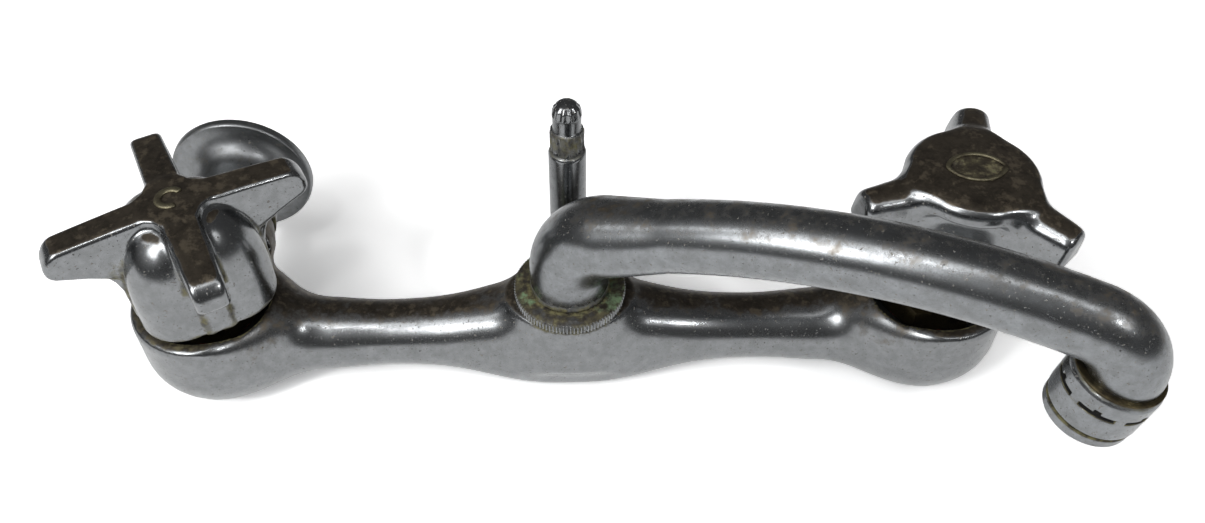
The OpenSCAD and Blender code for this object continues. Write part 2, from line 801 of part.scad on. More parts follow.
module spout_tube() {
  color([0.7, 0.71, 0.73]) at_spout() difference() {
    union() {
      spout_path(tube_base_r, tube_r);
      post(tube_base_r + 0.6, tube_foot_z, tube_foot_z + 1.2);
      post(shank_r, -shank_len, tube_foot_z + tube_lap);
      translate([spout_reach, 0, 0]) {
        post(outlet_r, outlet_z, outlet_z + 2.2);
        post(nipple_r, outlet_z - nipple_len, outlet_z + tube_lap);
      }
    }
    spout_path(tube_base_r - tube_wall, tube_r - tube_wall);
    post(shank_r - 2.2, -shank_len - over, tube_foot_z + tube_lap);
    translate([spout_reach, 0, 0]) post(nipple_r - 2, outlet_z - nipple_len - over, outlet_z + 1);
    ring(shank_r + over, shank_r - snap_groove, snap_z, snap_z + snap_h);
    ring(shank_r + over, shank_r - 1.1, seal_z - seal_h, seal_z);
  }
}

module spout_snap_ring() {
  color([0.74, 0.62, 0.36]) at_spout() difference() {
    ring(snap_r, shank_r - snap_groove + fit, snap_z + 0.05, snap_z + snap_h - 0.05);
    translate([0, -1, snap_z - over]) cube([snap_r + over, 2, snap_h + 2 * over]);
  }
}

module spout_seal() {
  color([0.1, 0.1, 0.1]) at_spout() ring(shank_r + 0.02, shank_r - 1.05, seal_z - seal_h + 0.1, seal_z - 0.1);
}

module spout_nut() {
  top = seat_plane_z + nut_h;
  knurl_depth = 0.4;
  color([0.6, 0.56, 0.42]) translate([0, valve_y, 0]) difference() {
    union() {
      translate([0, 0, seat_plane_z]) linear_extrude(nut_h)
        polygon([for (i = [0 : 2 * knurl_count - 1]) (nut_r - knurl_depth * (i % 2))
                 * [cos(180 * i / knurl_count), sin(180 * i / knurl_count)]]);
      post(nut_skirt_r, seat_plane_z - nut_skirt_len, seat_plane_z);
    }
    post(shank_r + fit, seat_plane_z - nut_skirt_len - over, top + over);
  }
}

// ---------- aerator ----------

module at_outlet() { at_spout() translate([spout_reach, 0, 0]) children(); }

module aerator_collar() {
  color([0.66, 0.52, 0.28]) at_outlet() ring(outlet_r, nipple_r + fit, housing_top, outlet_z);
}

module aerator_housing() {
  slot_len = 9;
  color([0.68, 0.69, 0.69]) at_outlet() difference() {
    union() {
      post(aerator_r - 0.5, housing_top - 1, housing_top, aerator_r - 0.9);
      post(aerator_r, housing_bottom + 1, housing_top - 1);
      post(aerator_r - 0.4, housing_bottom, housing_bottom + 1, aerator_r);
    }
    post(nipple_r + fit, slot_z - 1, housing_top + over);
    post(insert_r + fit, housing_bottom + 2, slot_z);
    post(insert_r - 1.5, housing_bottom - over, housing_bottom + 3);
    for (i = [0 : 3]) rotate([0, 0, 90 * i - 36]) translate([0, -slot_len / 2, slot_z - slot_h / 2])
      cube([aerator_r + over, slot_len, slot_h]);
  }
}

module aerator_insert() {
  hole_ring = insert_r - 3.2;
  bottom = housing_bottom + 2;
  color([0.85, 0.84, 0.8]) at_outlet() difference() {
    post(insert_r, bottom, bottom + insert_h - 2.4);
    for (i = [0 : 7]) rotate([0, 0, 45 * i])
      translate([hole_ring, 0, 0]) post(1.1, bottom - over, bottom + insert_h);
  }
}

module aerator_screen() {
  bottom = housing_bottom + 2 + insert_h - 2.4;
  color([0.6, 0.6, 0.58]) at_outlet() ring(insert_r - 0.1, 1, bottom, bottom + 0.8);
}

module aerator_lower_ring() {
  color([0.64, 0.65, 0.65]) at_outlet() {
    ring(lower_ring_r, insert_r - 1.5, housing_bottom - lower_ring_h, housing_bottom);
  }
}

body_casting();
inlet_coupling();
inlet_gasket();
at_left() bonnet();  // left_bonnet
at_left() bonnet_gasket();  // left_bonnet_gasket
at_left() packing();  // left_packing
at_left() packing_nut();  // left_packing_nut
at_left() valve_seat(seat_r, seat_bore_r, seat_z, seat_h);  // left_valve_seat
at_left() disc_holder(washer_r, seat_z);  // left_disc_holder
at_left() seat_washer(washer_r, seat_z);  // left_seat_washer
at_left() washer_screw(seat_z);  // left_washer_screw
at_left() supply_stem(left_stem_top);  // left_stem
left_handle();
at_left() handle_screw(left_stem_top);  // left_handle_screw
left_index_button();
at_right() bonnet();  // right_bonnet
at_right() bonnet_gasket();  // right_bonnet_gasket
at_right() packing();  // right_packing
at_right() packing_nut();  // right_packing_nut
at_right() valve_seat(seat_r, seat_bore_r, seat_z, seat_h);  // right_valve_seat
at_right() disc_holder(washer_r, seat_z);  // right_disc_holder
at_right() seat_washer(washer_r, seat_z);  // right_seat_washer
at_right() washer_screw(seat_z);  // right_washer_screw
at_right() supply_stem(right_stem_top);  // right_stem
right_handle();
at_right() handle_screw(right_stem_top);  // right_handle_screw
right_index_button();
centre_bonnet();
centre_bonnet_gasket();
centre_packing();
centre_packing_nut();
at_centre_valve() valve_seat(c_seat_r, c_seat_bore_r, c_seat_z, c_seat_h);  // centre_valve_seat
at_centre_valve() disc_holder(c_washer_r, c_seat_z);  // centre_disc_holder
at_centre_valve() seat_washer(c_washer_r, c_seat_z);  // centre_seat_washer
at_centre_valve() washer_screw(c_seat_z);  // centre_washer_screw
centre_stem();
spout_tube();
spout_nut();
spout_snap_ring();
spout_seal();
aerator_collar();
aerator_housing();
aerator_insert();
aerator_screen();
aerator_lower_ring();
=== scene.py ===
"""Builds the looks of a worn wall-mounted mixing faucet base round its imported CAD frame.

The casting and both handles are fields of distance with smooth joins. The other pieces are profiles carried round
an axis or along a path. Shapes are worked out in millimetres and put into the meshes in metres.
"""

import json
import math

import bmesh
import bpy
import numpy as np
from bpy.props import FloatProperty, PointerProperty, StringProperty
from mathutils import Matrix, Vector


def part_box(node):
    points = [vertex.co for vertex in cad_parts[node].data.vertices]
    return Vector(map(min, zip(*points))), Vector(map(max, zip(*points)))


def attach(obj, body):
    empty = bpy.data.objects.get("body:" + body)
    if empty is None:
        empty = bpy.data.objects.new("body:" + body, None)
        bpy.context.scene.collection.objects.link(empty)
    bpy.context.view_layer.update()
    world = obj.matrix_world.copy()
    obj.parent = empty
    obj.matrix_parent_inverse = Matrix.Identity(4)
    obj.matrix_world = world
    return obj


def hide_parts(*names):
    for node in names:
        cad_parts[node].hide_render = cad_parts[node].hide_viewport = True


bl_info = {
    "name": "Worn Mixing Faucet Base",
    "version": (1, 0, 0),
    "blender": (4, 5, 0),
    "location": "View3D > Sidebar > Faucet",
    "description": "Builds a worn wall-mounted mixing faucet base with its handles, spout and aerator",
    "category": "Add Mesh",
}

MM = 0.001
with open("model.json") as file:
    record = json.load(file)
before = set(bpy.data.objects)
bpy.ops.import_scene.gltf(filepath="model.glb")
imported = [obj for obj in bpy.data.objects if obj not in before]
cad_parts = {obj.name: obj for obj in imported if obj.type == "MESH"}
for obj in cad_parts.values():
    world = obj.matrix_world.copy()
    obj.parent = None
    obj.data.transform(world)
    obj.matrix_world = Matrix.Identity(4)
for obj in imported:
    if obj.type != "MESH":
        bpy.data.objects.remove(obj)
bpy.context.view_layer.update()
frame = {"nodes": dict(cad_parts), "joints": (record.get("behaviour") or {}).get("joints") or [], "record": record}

# Axes that follow the frame, in millimetres
JOINT_AT = {joint["child"]: np.array(joint["pos_m"]) / MM for joint in frame["joints"] if "pos_m" in joint}
LEFT_AT, RIGHT_AT = JOINT_AT["left_turn"], JOINT_AT["right_turn"]
CENTRE_AT, SPOUT_AT = JOINT_AT["centre_turn"], JOINT_AT["spout"]
VALVE_X = RIGHT_AT[0]
BAR_Y = SPOUT_AT[1]
CENTRE_BACK = CENTRE_AT[1] - BAR_Y

# Sizes that the casting shares with the threads in it, in millimetres
PORT_Z = -24.2
PORT_THREAD_R = 5.0
ARM_THREAD_R = 9.7


def foot_and_top(node):
    """Lowest and highest point of a CAD node, in millimetres."""
    low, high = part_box(node)
    return low.z / MM, high.z / MM


OUTLET_Z = foot_and_top("aerator_collar")[1]
HOUSING_FOOT, HOUSING_TOP = foot_and_top("aerator_housing")
RING_FOOT = foot_and_top("aerator_lower_ring")[0]


def size(name, description, default):
    """A length property. Its default is given in millimetres."""
    return FloatProperty(name=name, description=description, default=default * MM, unit="LENGTH",
                         subtype="DISTANCE", precision=5)


def turn(name, description, default):
    """An angle property. Its default is given in degrees."""
    return FloatProperty(name=name, description=description, default=math.radians(default), subtype="ANGLE")


def colour(name, description, default):
    """A colour property, as an sRGB hex code."""
    return StringProperty(name=name, description=description, default=default)


class CastingSizes(bpy.types.PropertyGroup):
    """Sizes of the body casting and its inlet coupling"""

    lobe_r: size("Lobe radius", "Outer radius of an end lobe", 21.6)
    lobe_depth: size("Lobe depth", "Depth of an end lobe under its rim", 33.5)
    lobe_corner: size("Lobe corner", "Radius between a lobe's wall and its bottom", 19)
    cup_r: size("Cup radius", "Inner radius of the cup round a bonnet", 17.6)
    cup_depth: size("Cup depth", "Depth of that cup", 7)
    bar_drop: size("Bar drop", "How far the bar's axis lies under the rims", 18.5)
    bar_r: size("Bar radius", "Radius of the bar at its waists", 9.4)
    waist_x: size("Waist", "Distance from the spout axis to a waist", 51)
    waist_arc: size("Waist arc", "Radius of the arc between a waist and its lobe", 105)
    flare_r: size("Flare radius", "Largest radius of the bar at a lobe", 10.6)
    crown_rise: size("Crown", "How much thicker the bar is under the spout", 6.7)
    crown_reach: size("Crown reach", "How far from the spout axis the bar thins down", 29)
    centre_r: size("Centre collar", "Radius of the collar under the spout nut", 14.2)
    boss_r: size("Boss radius", "Radius of the centre valve's boss", 12.5)
    boss_drop: size("Boss drop", "How far the boss's top lies under the rims", 17)
    arm_reach: size("Arm reach", "Length of an inlet arm from the valve's axis", 28)
    flange_r: size("Flange radius", "Radius of the wall flange", 21.4)
    neck_r: size("Neck radius", "Radius of the coupling in front of its flange", 12.4)
    cell: size("Cell", "Size of a grid cell for the casting", 0.85)


class HandleSizes(bpy.types.PropertyGroup):
    """Sizes of the two handles"""

    bell_r: size("Bell radius", "Radius of the bell at its lower edge", 21)
    bell_gap: size("Bell gap", "Gap between the cup's rim and the bell", 3.5)
    bell_power: FloatProperty(name="Bell fullness", description="Power of the curve that closes the bell upwards",
                              default=3.6)
    cross_r: size("Arm tips", "Radius at the tips of the four arms", 34.1)
    cross_top: size("Cross top", "Height of the cross over the cup's rim", 37)
    cross_turn: turn("Cross angle", "Plan angle of the first of the four arms at rest", 28.2)
    letter_r: size("Letter radius", "Middle radius of the cold mark's stroke", 3.1)
    disc_r: size("Disc radius", "Radius of the right handle's disc", 17.1)
    disc_top: size("Disc top", "Height of the disc's top over the cup's rim", 42.8)
    disc_lean: size("Disc lean", "How far the loose handle leans to the right at its top", 1.4)
    tri_r: size("Disc arm tips", "Radius at the tips of the three arms", 29.8)
    tri_turn: turn("Disc angle", "Plan angle of the first of the three arms at rest", 73)
    cell: size("Cell", "Size of a grid cell for a handle", 0.5)


class SpoutSizes(bpy.types.PropertyGroup):
    """Sizes of the spout, its nut and the aerator"""

    turn_at_rest: turn("Spout angle", "Plan angle of the spout from +X at rest", -24)
    reach: size("Reach", "Distance from the swivel axis to the outlet", 134.5)
    base_rise: size("Foot", "Height of the straight foot over the rims", 8.5)
    rise_slope: turn("Rise", "Slope of the arm where it leaves the base elbow", 22)
    drop_slope: turn("Drop", "Slope of the arm where it enters the outlet elbow", 8)
    cone_len: size("Cone", "Length of the straight stretch before the arch", 18)
    base_bend: size("Base bend", "Bend radius of the elbow at the base", 17)
    outlet_bend: size("Outlet bend", "Bend radius of the elbow at the outlet", 12)
    base_tube_r: size("Base radius", "Radius of the tube at its base", 11)
    arm_tube_r: size("Arm radius", "Radius of the tube at the start of the arch", 9.4)
    end_tube_r: size("End radius", "Radius of the tube before the outlet elbow", 8.9)
    outlet_lean: turn("Outlet lean", "How far the outlet leans back to the base", 7)
    nut_r: size("Nut radius", "Radius of the knurled nut", 15.8)
    aerator_r: size("Aerator radius", "Radius of the aerator's housing", 10.6)


class FinishColours(bpy.types.PropertyGroup):
    """Colours of the finishes, as sRGB hex codes"""

    chrome: colour("Chrome", "Chrome plate dulled by years of wiping", "959799")
    chrome_blue: colour("Spout chrome", "Chrome plate of the spout", "999C9F")
    haze: colour("Haze", "Tone of the plate where it is dullest", "838586")
    film: colour("Film", "Brown film on surfaces that face up", "50493F")
    film_dark: colour("Dark film", "Darkest patches of that film", "2F2A24")
    film_pale: colour("Pale film", "Palest patches of that film", "776D5D")
    fleck: colour("Fleck", "Tan flecks of scale", "7D735F")
    # Painted shade: this black goes where the cups, the hollows of the handles and the aerator's slots lie in shadow,
    # along with their soot
    soot: colour("Soot", "Black dirt deep inside", "12110F")
    grime: colour("Grime", "Khaki grime in creases", "77724F")
    verdigris: colour("Verdigris", "Green copper salts in creases", "7C9A74")
    brass: colour("Brass", "Dull brass", "5F563F")
    mark: colour("Mark", "Tarnished raised marks", "8C866F")
    rubber: colour("Rubber", "Black nitrile rubber", "1A1A1A")
    rubber_worn: colour("Worn rubber", "Paler clouds in that rubber", "262422")
    fibre: colour("Fibre", "Red pressed fibre", "6A3426")
    fibre_dark: colour("Wet fibre", "Darker clouds in that fibre", "4C261C")
    plastic: colour("Plastic", "White acetal", "D8D6CE")
    plastic_aged: colour("Aged plastic", "Yellowed clouds in that plastic", "B9B4A4")
    steel: colour("Steel", "Stainless steel", "A6A6A4")


class StageSizes(bpy.types.PropertyGroup):
    """Camera and floor"""

    pitch: turn("Pitch", "How far the camera looks down", 46)
    yaw: turn("Yaw", "How far the camera is turned from +Y", 0.349)
    roll: turn("Roll", "Turn of the camera about its line of sight", 0.823)
    camera_x: size("Camera X", "Camera's place along X", -1.03)
    camera_y: size("Camera Y", "Camera's place along Y, from the wall", -241.62)
    camera_z: size("Camera Z", "Camera's height over the rims", 217.65)
    lens: FloatProperty(name="Lens", description="Focal length on a 36 mm sensor", default=30.71)
    shift_x: FloatProperty(name="Shift X", description="Lens shift across the frame", default=0.0274)
    shift_y: FloatProperty(name="Shift Y", description="Lens shift up the frame", default=-0.0210)
    floor_tone: FloatProperty(name="Floor tone", description="Albedo of the floor in reflections", default=0.9)
    floor_gain: FloatProperty(name="Floor gain", description="Albedo of the floor for the camera", default=2.2)
    floor_gap: size("Floor gap", "Gap between the casting and the floor", 0.3)


class Millimetres:
    """Reads a property group with its lengths in millimetres and its angles in radians."""

    def __init__(self, group):
        self.group = group

    def __getattr__(self, key):
        value = getattr(self.group, key)
        return value / MM if self.group.bl_rna.properties[key].subtype == "DISTANCE" else value


# ---------- fields and meshes ----------


def smooth_min(a, b, width):
    """The smaller of two distances, eased by a parabola where they are within that width."""
    share = np.clip(0.5 + 0.5 * (b - a) / width, 0, 1)
    return b * (1 - share) + a * share - width * share * (1 - share)


def smooth_max(a, b, width):
    """The larger of two distances, eased in the same way."""
    return -smooth_min(-a, -b, width)


def band(value, low, high):
    """Distance outside a band between two levels, less than 0 between them."""
    return np.abs(value - (low + high) / 2) - (high - low) / 2


def fade(value, low, high):
    """0 at low, 1 at high, on the cubic that is flat at both ends."""
    t = np.clip((value - low) / (high - low), 0, 1)
    return t * t * (3 - 2 * t)


def slope_of(field, points, reach=0.04):
    """A field's gradient by central differences."""
    steps = reach * np.eye(3)
    return np.stack([(field(*(points + step).T) - field(*(points - step).T)) / (2 * reach) for step in steps], -1)


def polygonise(field, low, high, cell):
    """Surface nets. Each grid cell that the zero level crosses gets one point, the mean of the crossings on its
    edges, pulled onto the level by Newton steps. Each crossed edge gets the quad of the four cells round it.
    Returns points, quads and outward normals."""
    axes = [np.arange(low[k] - 1.5 * cell, high[k] + 2.5 * cell, cell) for k in range(3)]
    value = field(*np.meshgrid(*axes, indexing="ij"))
    cells = np.array(value.shape) - 1
    spots, rings = [], []
    for k in range(3):
        u, v = (k + 1) % 3, (k + 2) % 3
        near = np.take(value, np.arange(cells[k]), axis=k)
        far = np.take(value, np.arange(1, cells[k] + 1), axis=k)
        where = np.nonzero((near < 0) != (far < 0))
        a, b = near[where], far[where]
        spot = np.stack([axes[m][where[m]] for m in range(3)], -1)
        spot[:, k] += cell * a / (a - b)
        ring = []
        for back_u, back_v in ((0, 0), (1, 0), (1, 1), (0, 1)):
            index = list(where)
            index[u] = where[u] - back_u
            index[v] = where[v] - back_v
            ring.append(np.ravel_multi_index(index, cells))
        ring = np.stack(ring, 1)
        ring[a >= 0] = ring[a >= 0][:, ::-1]
        spots.append(np.repeat(spot, 4, axis=0))
        rings.append(ring)
    rings, spots = np.concatenate(rings), np.concatenate(spots)
    active, where = np.unique(rings.ravel(), return_inverse=True)
    where = where.ravel()
    points = np.stack([np.bincount(where, spots[:, k]) for k in range(3)], -1) / np.bincount(where)[:, None]
    for _ in range(3):
        slope = slope_of(field, points)
        steep = np.maximum(np.linalg.norm(slope, axis=1), 1e-3)
        move = np.clip(field(*points.T) / steep, -0.4 * cell, 0.4 * cell)
        points -= (move / steep)[:, None] * slope
    slope = slope_of(field, points)
    normals = slope / np.maximum(np.linalg.norm(slope, axis=1), 1e-6)[:, None]
    return points, np.searchsorted(active, rings), normals


def grid_quads(rows, columns, wrap_rows=False):
    """Quads of a grid of points whose columns close on themselves."""
    i, j = np.meshgrid(np.arange(rows if wrap_rows else rows - 1), np.arange(columns), indexing="ij")
    down, right = (i + 1) % rows, (j + 1) % columns
    return np.stack([i * columns + j, i * columns + right, down * columns + right, down * columns + j],
                    -1).reshape(-1, 4)


def rounded(corners, reach, closed=True):
    """An outline whose corners are quadratic curves of four points that start and end within reach of the corner.
    An open one keeps its ends."""
    corners = np.asarray(corners, float)
    before, after = np.roll(corners, 1, axis=0) - corners, np.roll(corners, -1, axis=0) - corners
    far_before = np.linalg.norm(before, axis=1)[:, None]
    far_after = np.linalg.norm(after, axis=1)[:, None]
    start = corners + before / far_before * np.minimum(reach, 0.45 * far_before)
    end = corners + after / far_after * np.minimum(reach, 0.45 * far_after)
    t = np.linspace(0, 1, 4)[None, :, None]
    curves = (1 - t) ** 2 * start[:, None] + 2 * t * (1 - t) * corners[:, None] + t * t * end[:, None]
    if closed:
        return curves.reshape(-1, 2)
    return np.concatenate([corners[:1], curves[1:-1].reshape(-1, 2), corners[-1:]])


def filled(outline, longest, closed=True):
    """The same outline with points added, so that no side is longer than that."""
    ends = np.roll(outline, -1, axis=0) if closed else outline[1:]
    starts = outline if closed else outline[:-1]
    sides = ends - starts
    counts = np.maximum(np.ceil(np.linalg.norm(sides, axis=1) / longest).astype(int), 1)
    side = np.repeat(np.arange(len(sides)), counts)
    step = np.arange(counts.sum()) - np.repeat(np.cumsum(counts) - counts, counts)
    points = starts[side] + sides[side] * (step / counts[side])[:, None]
    return points if closed else np.concatenate([points, outline[-1:]])


def turned(outline, segments, cut=None, closed=True):
    """Carries an outline of (radius, height), counter-clockwise, round the Z axis. cut(radius, height, angle) is
    taken off the radius."""
    angle = np.linspace(0, 2 * np.pi, segments, endpoint=False)[None, :]
    radius, height = (outline[:, k][:, None] + 0 * angle for k in range(2))
    if cut is not None:
        radius = radius - cut(radius, height, angle)
    points = np.stack([radius * np.cos(angle), radius * np.sin(angle), height], -1).reshape(-1, 3)
    return points, grid_quads(len(outline), segments, wrap_rows=closed)


def grid_normals(points, quads):
    """Each point's normal: the sum of the cross products of its quads' diagonals."""
    corner = points[quads]
    across = np.cross(corner[:, 2] - corner[:, 0], corner[:, 3] - corner[:, 1])
    total = np.stack([np.bincount(quads.ravel(), np.repeat(across[:, k], 4), len(points)) for k in range(3)], -1)
    return total / np.maximum(np.linalg.norm(total, axis=1), 1e-9)[:, None]


def put_mesh(name, points, quads, material, at, **attributes):
    """A smooth mesh object at the origin, from points in millimetres round a place, with float attributes. Points
    that coincide, as at a pole, are merged."""
    mesh = bpy.data.meshes.new(name)
    mesh.from_pydata(((points + np.asarray(at, float)) * MM).tolist(), [], quads.tolist())
    for key, values in attributes.items():
        mesh.attributes.new(key, "FLOAT", "POINT").data.foreach_set("value", np.asarray(values, np.float32))
    merged = bmesh.new()
    merged.from_mesh(mesh)
    bmesh.ops.remove_doubles(merged, verts=merged.verts, dist=1e-7)
    merged.to_mesh(mesh)
    merged.free()
    mesh.polygons.foreach_set("use_smooth", np.ones(len(mesh.polygons), bool))
    mesh.materials.append(material)
    piece = bpy.data.objects.new(name, mesh)
    bpy.context.scene.collection.objects.link(piece)
    return piece


def put_piece(name, points, quads, slot, at, body, *nodes, **attributes):
    """Such a mesh in the finish of its slot. It rides on a body and stands for CAD nodes."""
    piece = put_mesh(name, points, quads, finishes[slot], at, **attributes)
    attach(piece, body)
    if nodes:
        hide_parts(*nodes)


# ---------- finishes ----------

finishes = {}


def linear(code):
    """sRGB hex code to linear RGBA."""
    srgb = np.array([int(code[k:k + 2], 16) for k in (0, 2, 4)]) / 255
    rgb = np.where(srgb <= 0.04045, srgb / 12.92, ((srgb + 0.055) / 1.055) ** 2.4)
    return (*rgb.tolist(), 1.0)


# Settings that many nodes share: a fade with eased ends, and a mix of colours
EASED = {"interpolation_type": "SMOOTHSTEP"}
COLOURS = {"data_type": "RGBA"}


class Finish:
    """A material, and the one call that adds a node to it."""

    def __init__(self, name):
        self.material = bpy.data.materials.new(name)
        self.material.use_nodes = True
        self.tree = self.material.node_tree
        self.tree.nodes.clear()

    def add(self, kind, *inputs, out=None, **settings):
        """Adds a node and returns one of its outputs, the first in use where none is named. Plain inputs go into the
        sockets in use from the first on, and a keyword with a capital letter into the socket of that name. Other
        keywords are the node's settings. Another node's output is linked, any other value is filled in."""
        node = self.tree.nodes.new("ShaderNode" + kind)
        named = []
        for key, value in settings.items():
            if key[0].isupper():
                named.append((node.inputs[key.replace("_", " ")], value))
            else:
                setattr(node, key, value)
        in_use = [socket for socket in node.inputs if socket.enabled]
        for socket, value in [*zip(in_use, inputs), *named]:
            if isinstance(value, bpy.types.NodeSocket):
                self.tree.links.new(value, socket)
            else:
                socket.default_value = value
        return node.outputs[out] if out else next((socket for socket in node.outputs if socket.enabled), None)


def patterns(finish, rows, tall=1):
    """Noise on the piece's own coordinates, one for each row of grain in millimetres, detail, seed and roughness.
    The grain is finer by that factor along Z."""
    place = finish.add("TexCoord", out="Object")
    for grain, detail, seed, rough in rows:
        moved = finish.add("Mapping", place, Location=(seed, 2 * seed, 3 * seed), Scale=(1, 1, tall))
        yield finish.add("TexNoise", moved, Scale=1 / (grain * MM), Detail=detail, Roughness=rough)


def layered(finish, base, *layers):
    """Colours laid over a base one after the other, each by its own share. A hex code is turned to linear."""
    for share, tone in layers:
        tone = linear(tone) if isinstance(tone, str) else tone
        base = finish.add("Mix", share, base, tone, **COLOURS)
    return base


def surface(finish, height, depth, base, metal, rough):
    """The shader, with its bump of that depth in millimetres, and the material's output."""
    bump = finish.add("Bump", Height=height, Strength=1.0, Distance=depth * MM)
    shader = finish.add("BsdfPrincipled", Base_Color=base, Metallic=metal, Roughness=rough, Normal=bump)
    finish.add("OutputMaterial", Surface=shader)
    return finish.material


def worn_plate(name, colours, plate, reach=1.0, everywhere=0.0, gloss=0.15, green=0.0):
    """Chrome plate on cast or drawn brass: polished but wiped dull, with small flecks of scale and fine pits. A brown
    film covers what faces up, as far as reach, khaki grime with green salts fills the creases, and a black of soot
    and painted shade covers what lies deepest, where the cups, the hollows of the handles and the aerator's slots lie
    in shadow. The flecks and pits are drawn coarser than the finest real ones, so that they show."""
    finish = Finish(name)
    add = finish.add
    film, crease = (add("Attribute", out="Fac", attribute_name=key) for key in ("film", "crease"))
    clouds, blots, mottle, spots, grit, waves = patterns(finish, (
        (17, 4, 0.1, 0.55), (3.4, 6, 0.4, 0.68), (3.2, 7, 0.3, 0.72),
        (0.85, 3, 0.5, 0.6), (0.35, 3, 0.7, 0.6), (11, 2, 0.9, 0.55)))

    # Where the film, the dirt with its painted shade, the salts, the flecks and the pits are
    spread = add("Math", film, reach, everywhere, operation="MULTIPLY_ADD")
    uneven = add("Math", add("Math", clouds, 0.9, -0.45, operation="MULTIPLY_ADD"),
                 add("Math", blots, 1.3, -0.65, operation="MULTIPLY_ADD"), operation="ADD")
    filmed = add("MapRange", add("Math", spread, uneven, operation="ADD"), 0.2, 0.8, **EASED)
    thick = add("MapRange", add("Math", uneven, 0.4, mottle, operation="MULTIPLY_ADD"), 0.28, 0.74, **EASED)
    ragged = add("Math", crease, add("Math", blots, 1.4, -0.7, operation="MULTIPLY_ADD"), operation="ADD")
    dirt_and_shade_share = add("MapRange", ragged, 0.25, 0.8, **EASED)
    salted = add("MapRange", add("Math", blots, 0.8, clouds, operation="MULTIPLY_ADD"), 1.12 - green, 1.28 - green,
                 **EASED)
    bare = add("Math", clouds, filmed, operation="SUBTRACT")
    flecks = add("MapRange", add("Math", bare, 0.05, spots, operation="MULTIPLY_ADD"), 0.67, 0.73, **EASED)
    pits = add("MapRange", add("Math", clouds, -0.08, spots, operation="MULTIPLY_ADD"), 0.29, 0.24, **EASED)

    brown = layered(finish, linear(colours.film), (thick, colours.film_dark),
                    (add("MapRange", blots, 0.5, 0.64, 0.0, 0.7, **EASED), colours.film_pale))
    # The dirt's tone: khaki grime, green salts, dark mottle, and black where the attribute passes 1.1, which is soot
    # and painted shade in the cups, the handles' hollows and the aerator's slots
    dirt_and_shade_tone = layered(finish, linear(colours.grime), (salted, colours.verdigris),
                   (add("MapRange", mottle, 0.4, 0.62, **EASED), colours.film_dark),
                   (add("MapRange", crease, 1.1, 1.7, **EASED), colours.soot))
    base = layered(finish, linear(plate), (add("MapRange", mottle, 0.25, 0.7, **EASED), colours.haze),
                   (filmed, brown),
                   (add("Math", flecks, 0.6, operation="MULTIPLY"), colours.fleck),
                   (add("Math", pits, 0.7, operation="MULTIPLY"), colours.film_dark),
                   (dirt_and_shade_share, dirt_and_shade_tone))
    metal = add("Math", add("MapRange", filmed, 0.0, 1.0, 1.0, 0.6, **EASED),
                add("Math", dirt_and_shade_share, flecks, operation="MAXIMUM"), operation="SUBTRACT")
    rough, height = add("MapRange", filmed, 0.0, 1.0, gloss, gloss + 0.16, **EASED), 0.0
    for part, share in ((dirt_and_shade_share, 0.4), (mottle, 0.14)):
        rough = add("Math", part, share, rough, operation="MULTIPLY_ADD")
    for part, share in ((waves, 0.8), (grit, 0.05), (flecks, 0.3), (pits, -0.3)):
        height = add("Math", part, share, height, operation="MULTIPLY_ADD")
    return surface(finish, height, 0.12, base, metal, rough)


def dull_metal(name, tone, stain, gloss, grain):
    """Bare metal with cloudy stains and fine turning marks, which blur what it reflects."""
    finish = Finish(name)
    clouds, = patterns(finish, ((5, 5, 0.3, 0.6),))
    marks, = patterns(finish, ((grain, 3, 0.6, 0.6),), tall=6)
    base = layered(finish, linear(tone), (finish.add("MapRange", clouds, 0.4, 0.7, **EASED), stain))
    rough = finish.add("MapRange", clouds, 0.2, 0.8, gloss, gloss + 0.25, **EASED)
    return surface(finish, finish.add("Math", marks, clouds, operation="ADD"), 0.05, base, 1.0, rough)


def matt_stuff(name, tone, stain, rough, grain, depth):
    """Moulded rubber or plastic, or pressed fibre: one tone with a fainter one in clouds, and a fine grain."""
    finish = Finish(name)
    clouds, fine = patterns(finish, ((4, 4, 0.5, 0.55), (grain, 4, 0.8, 0.65)))
    base = layered(finish, linear(tone), (finish.add("MapRange", clouds, 0.35, 0.75, **EASED), stain))
    return surface(finish, fine, depth, base, 0.0, rough)


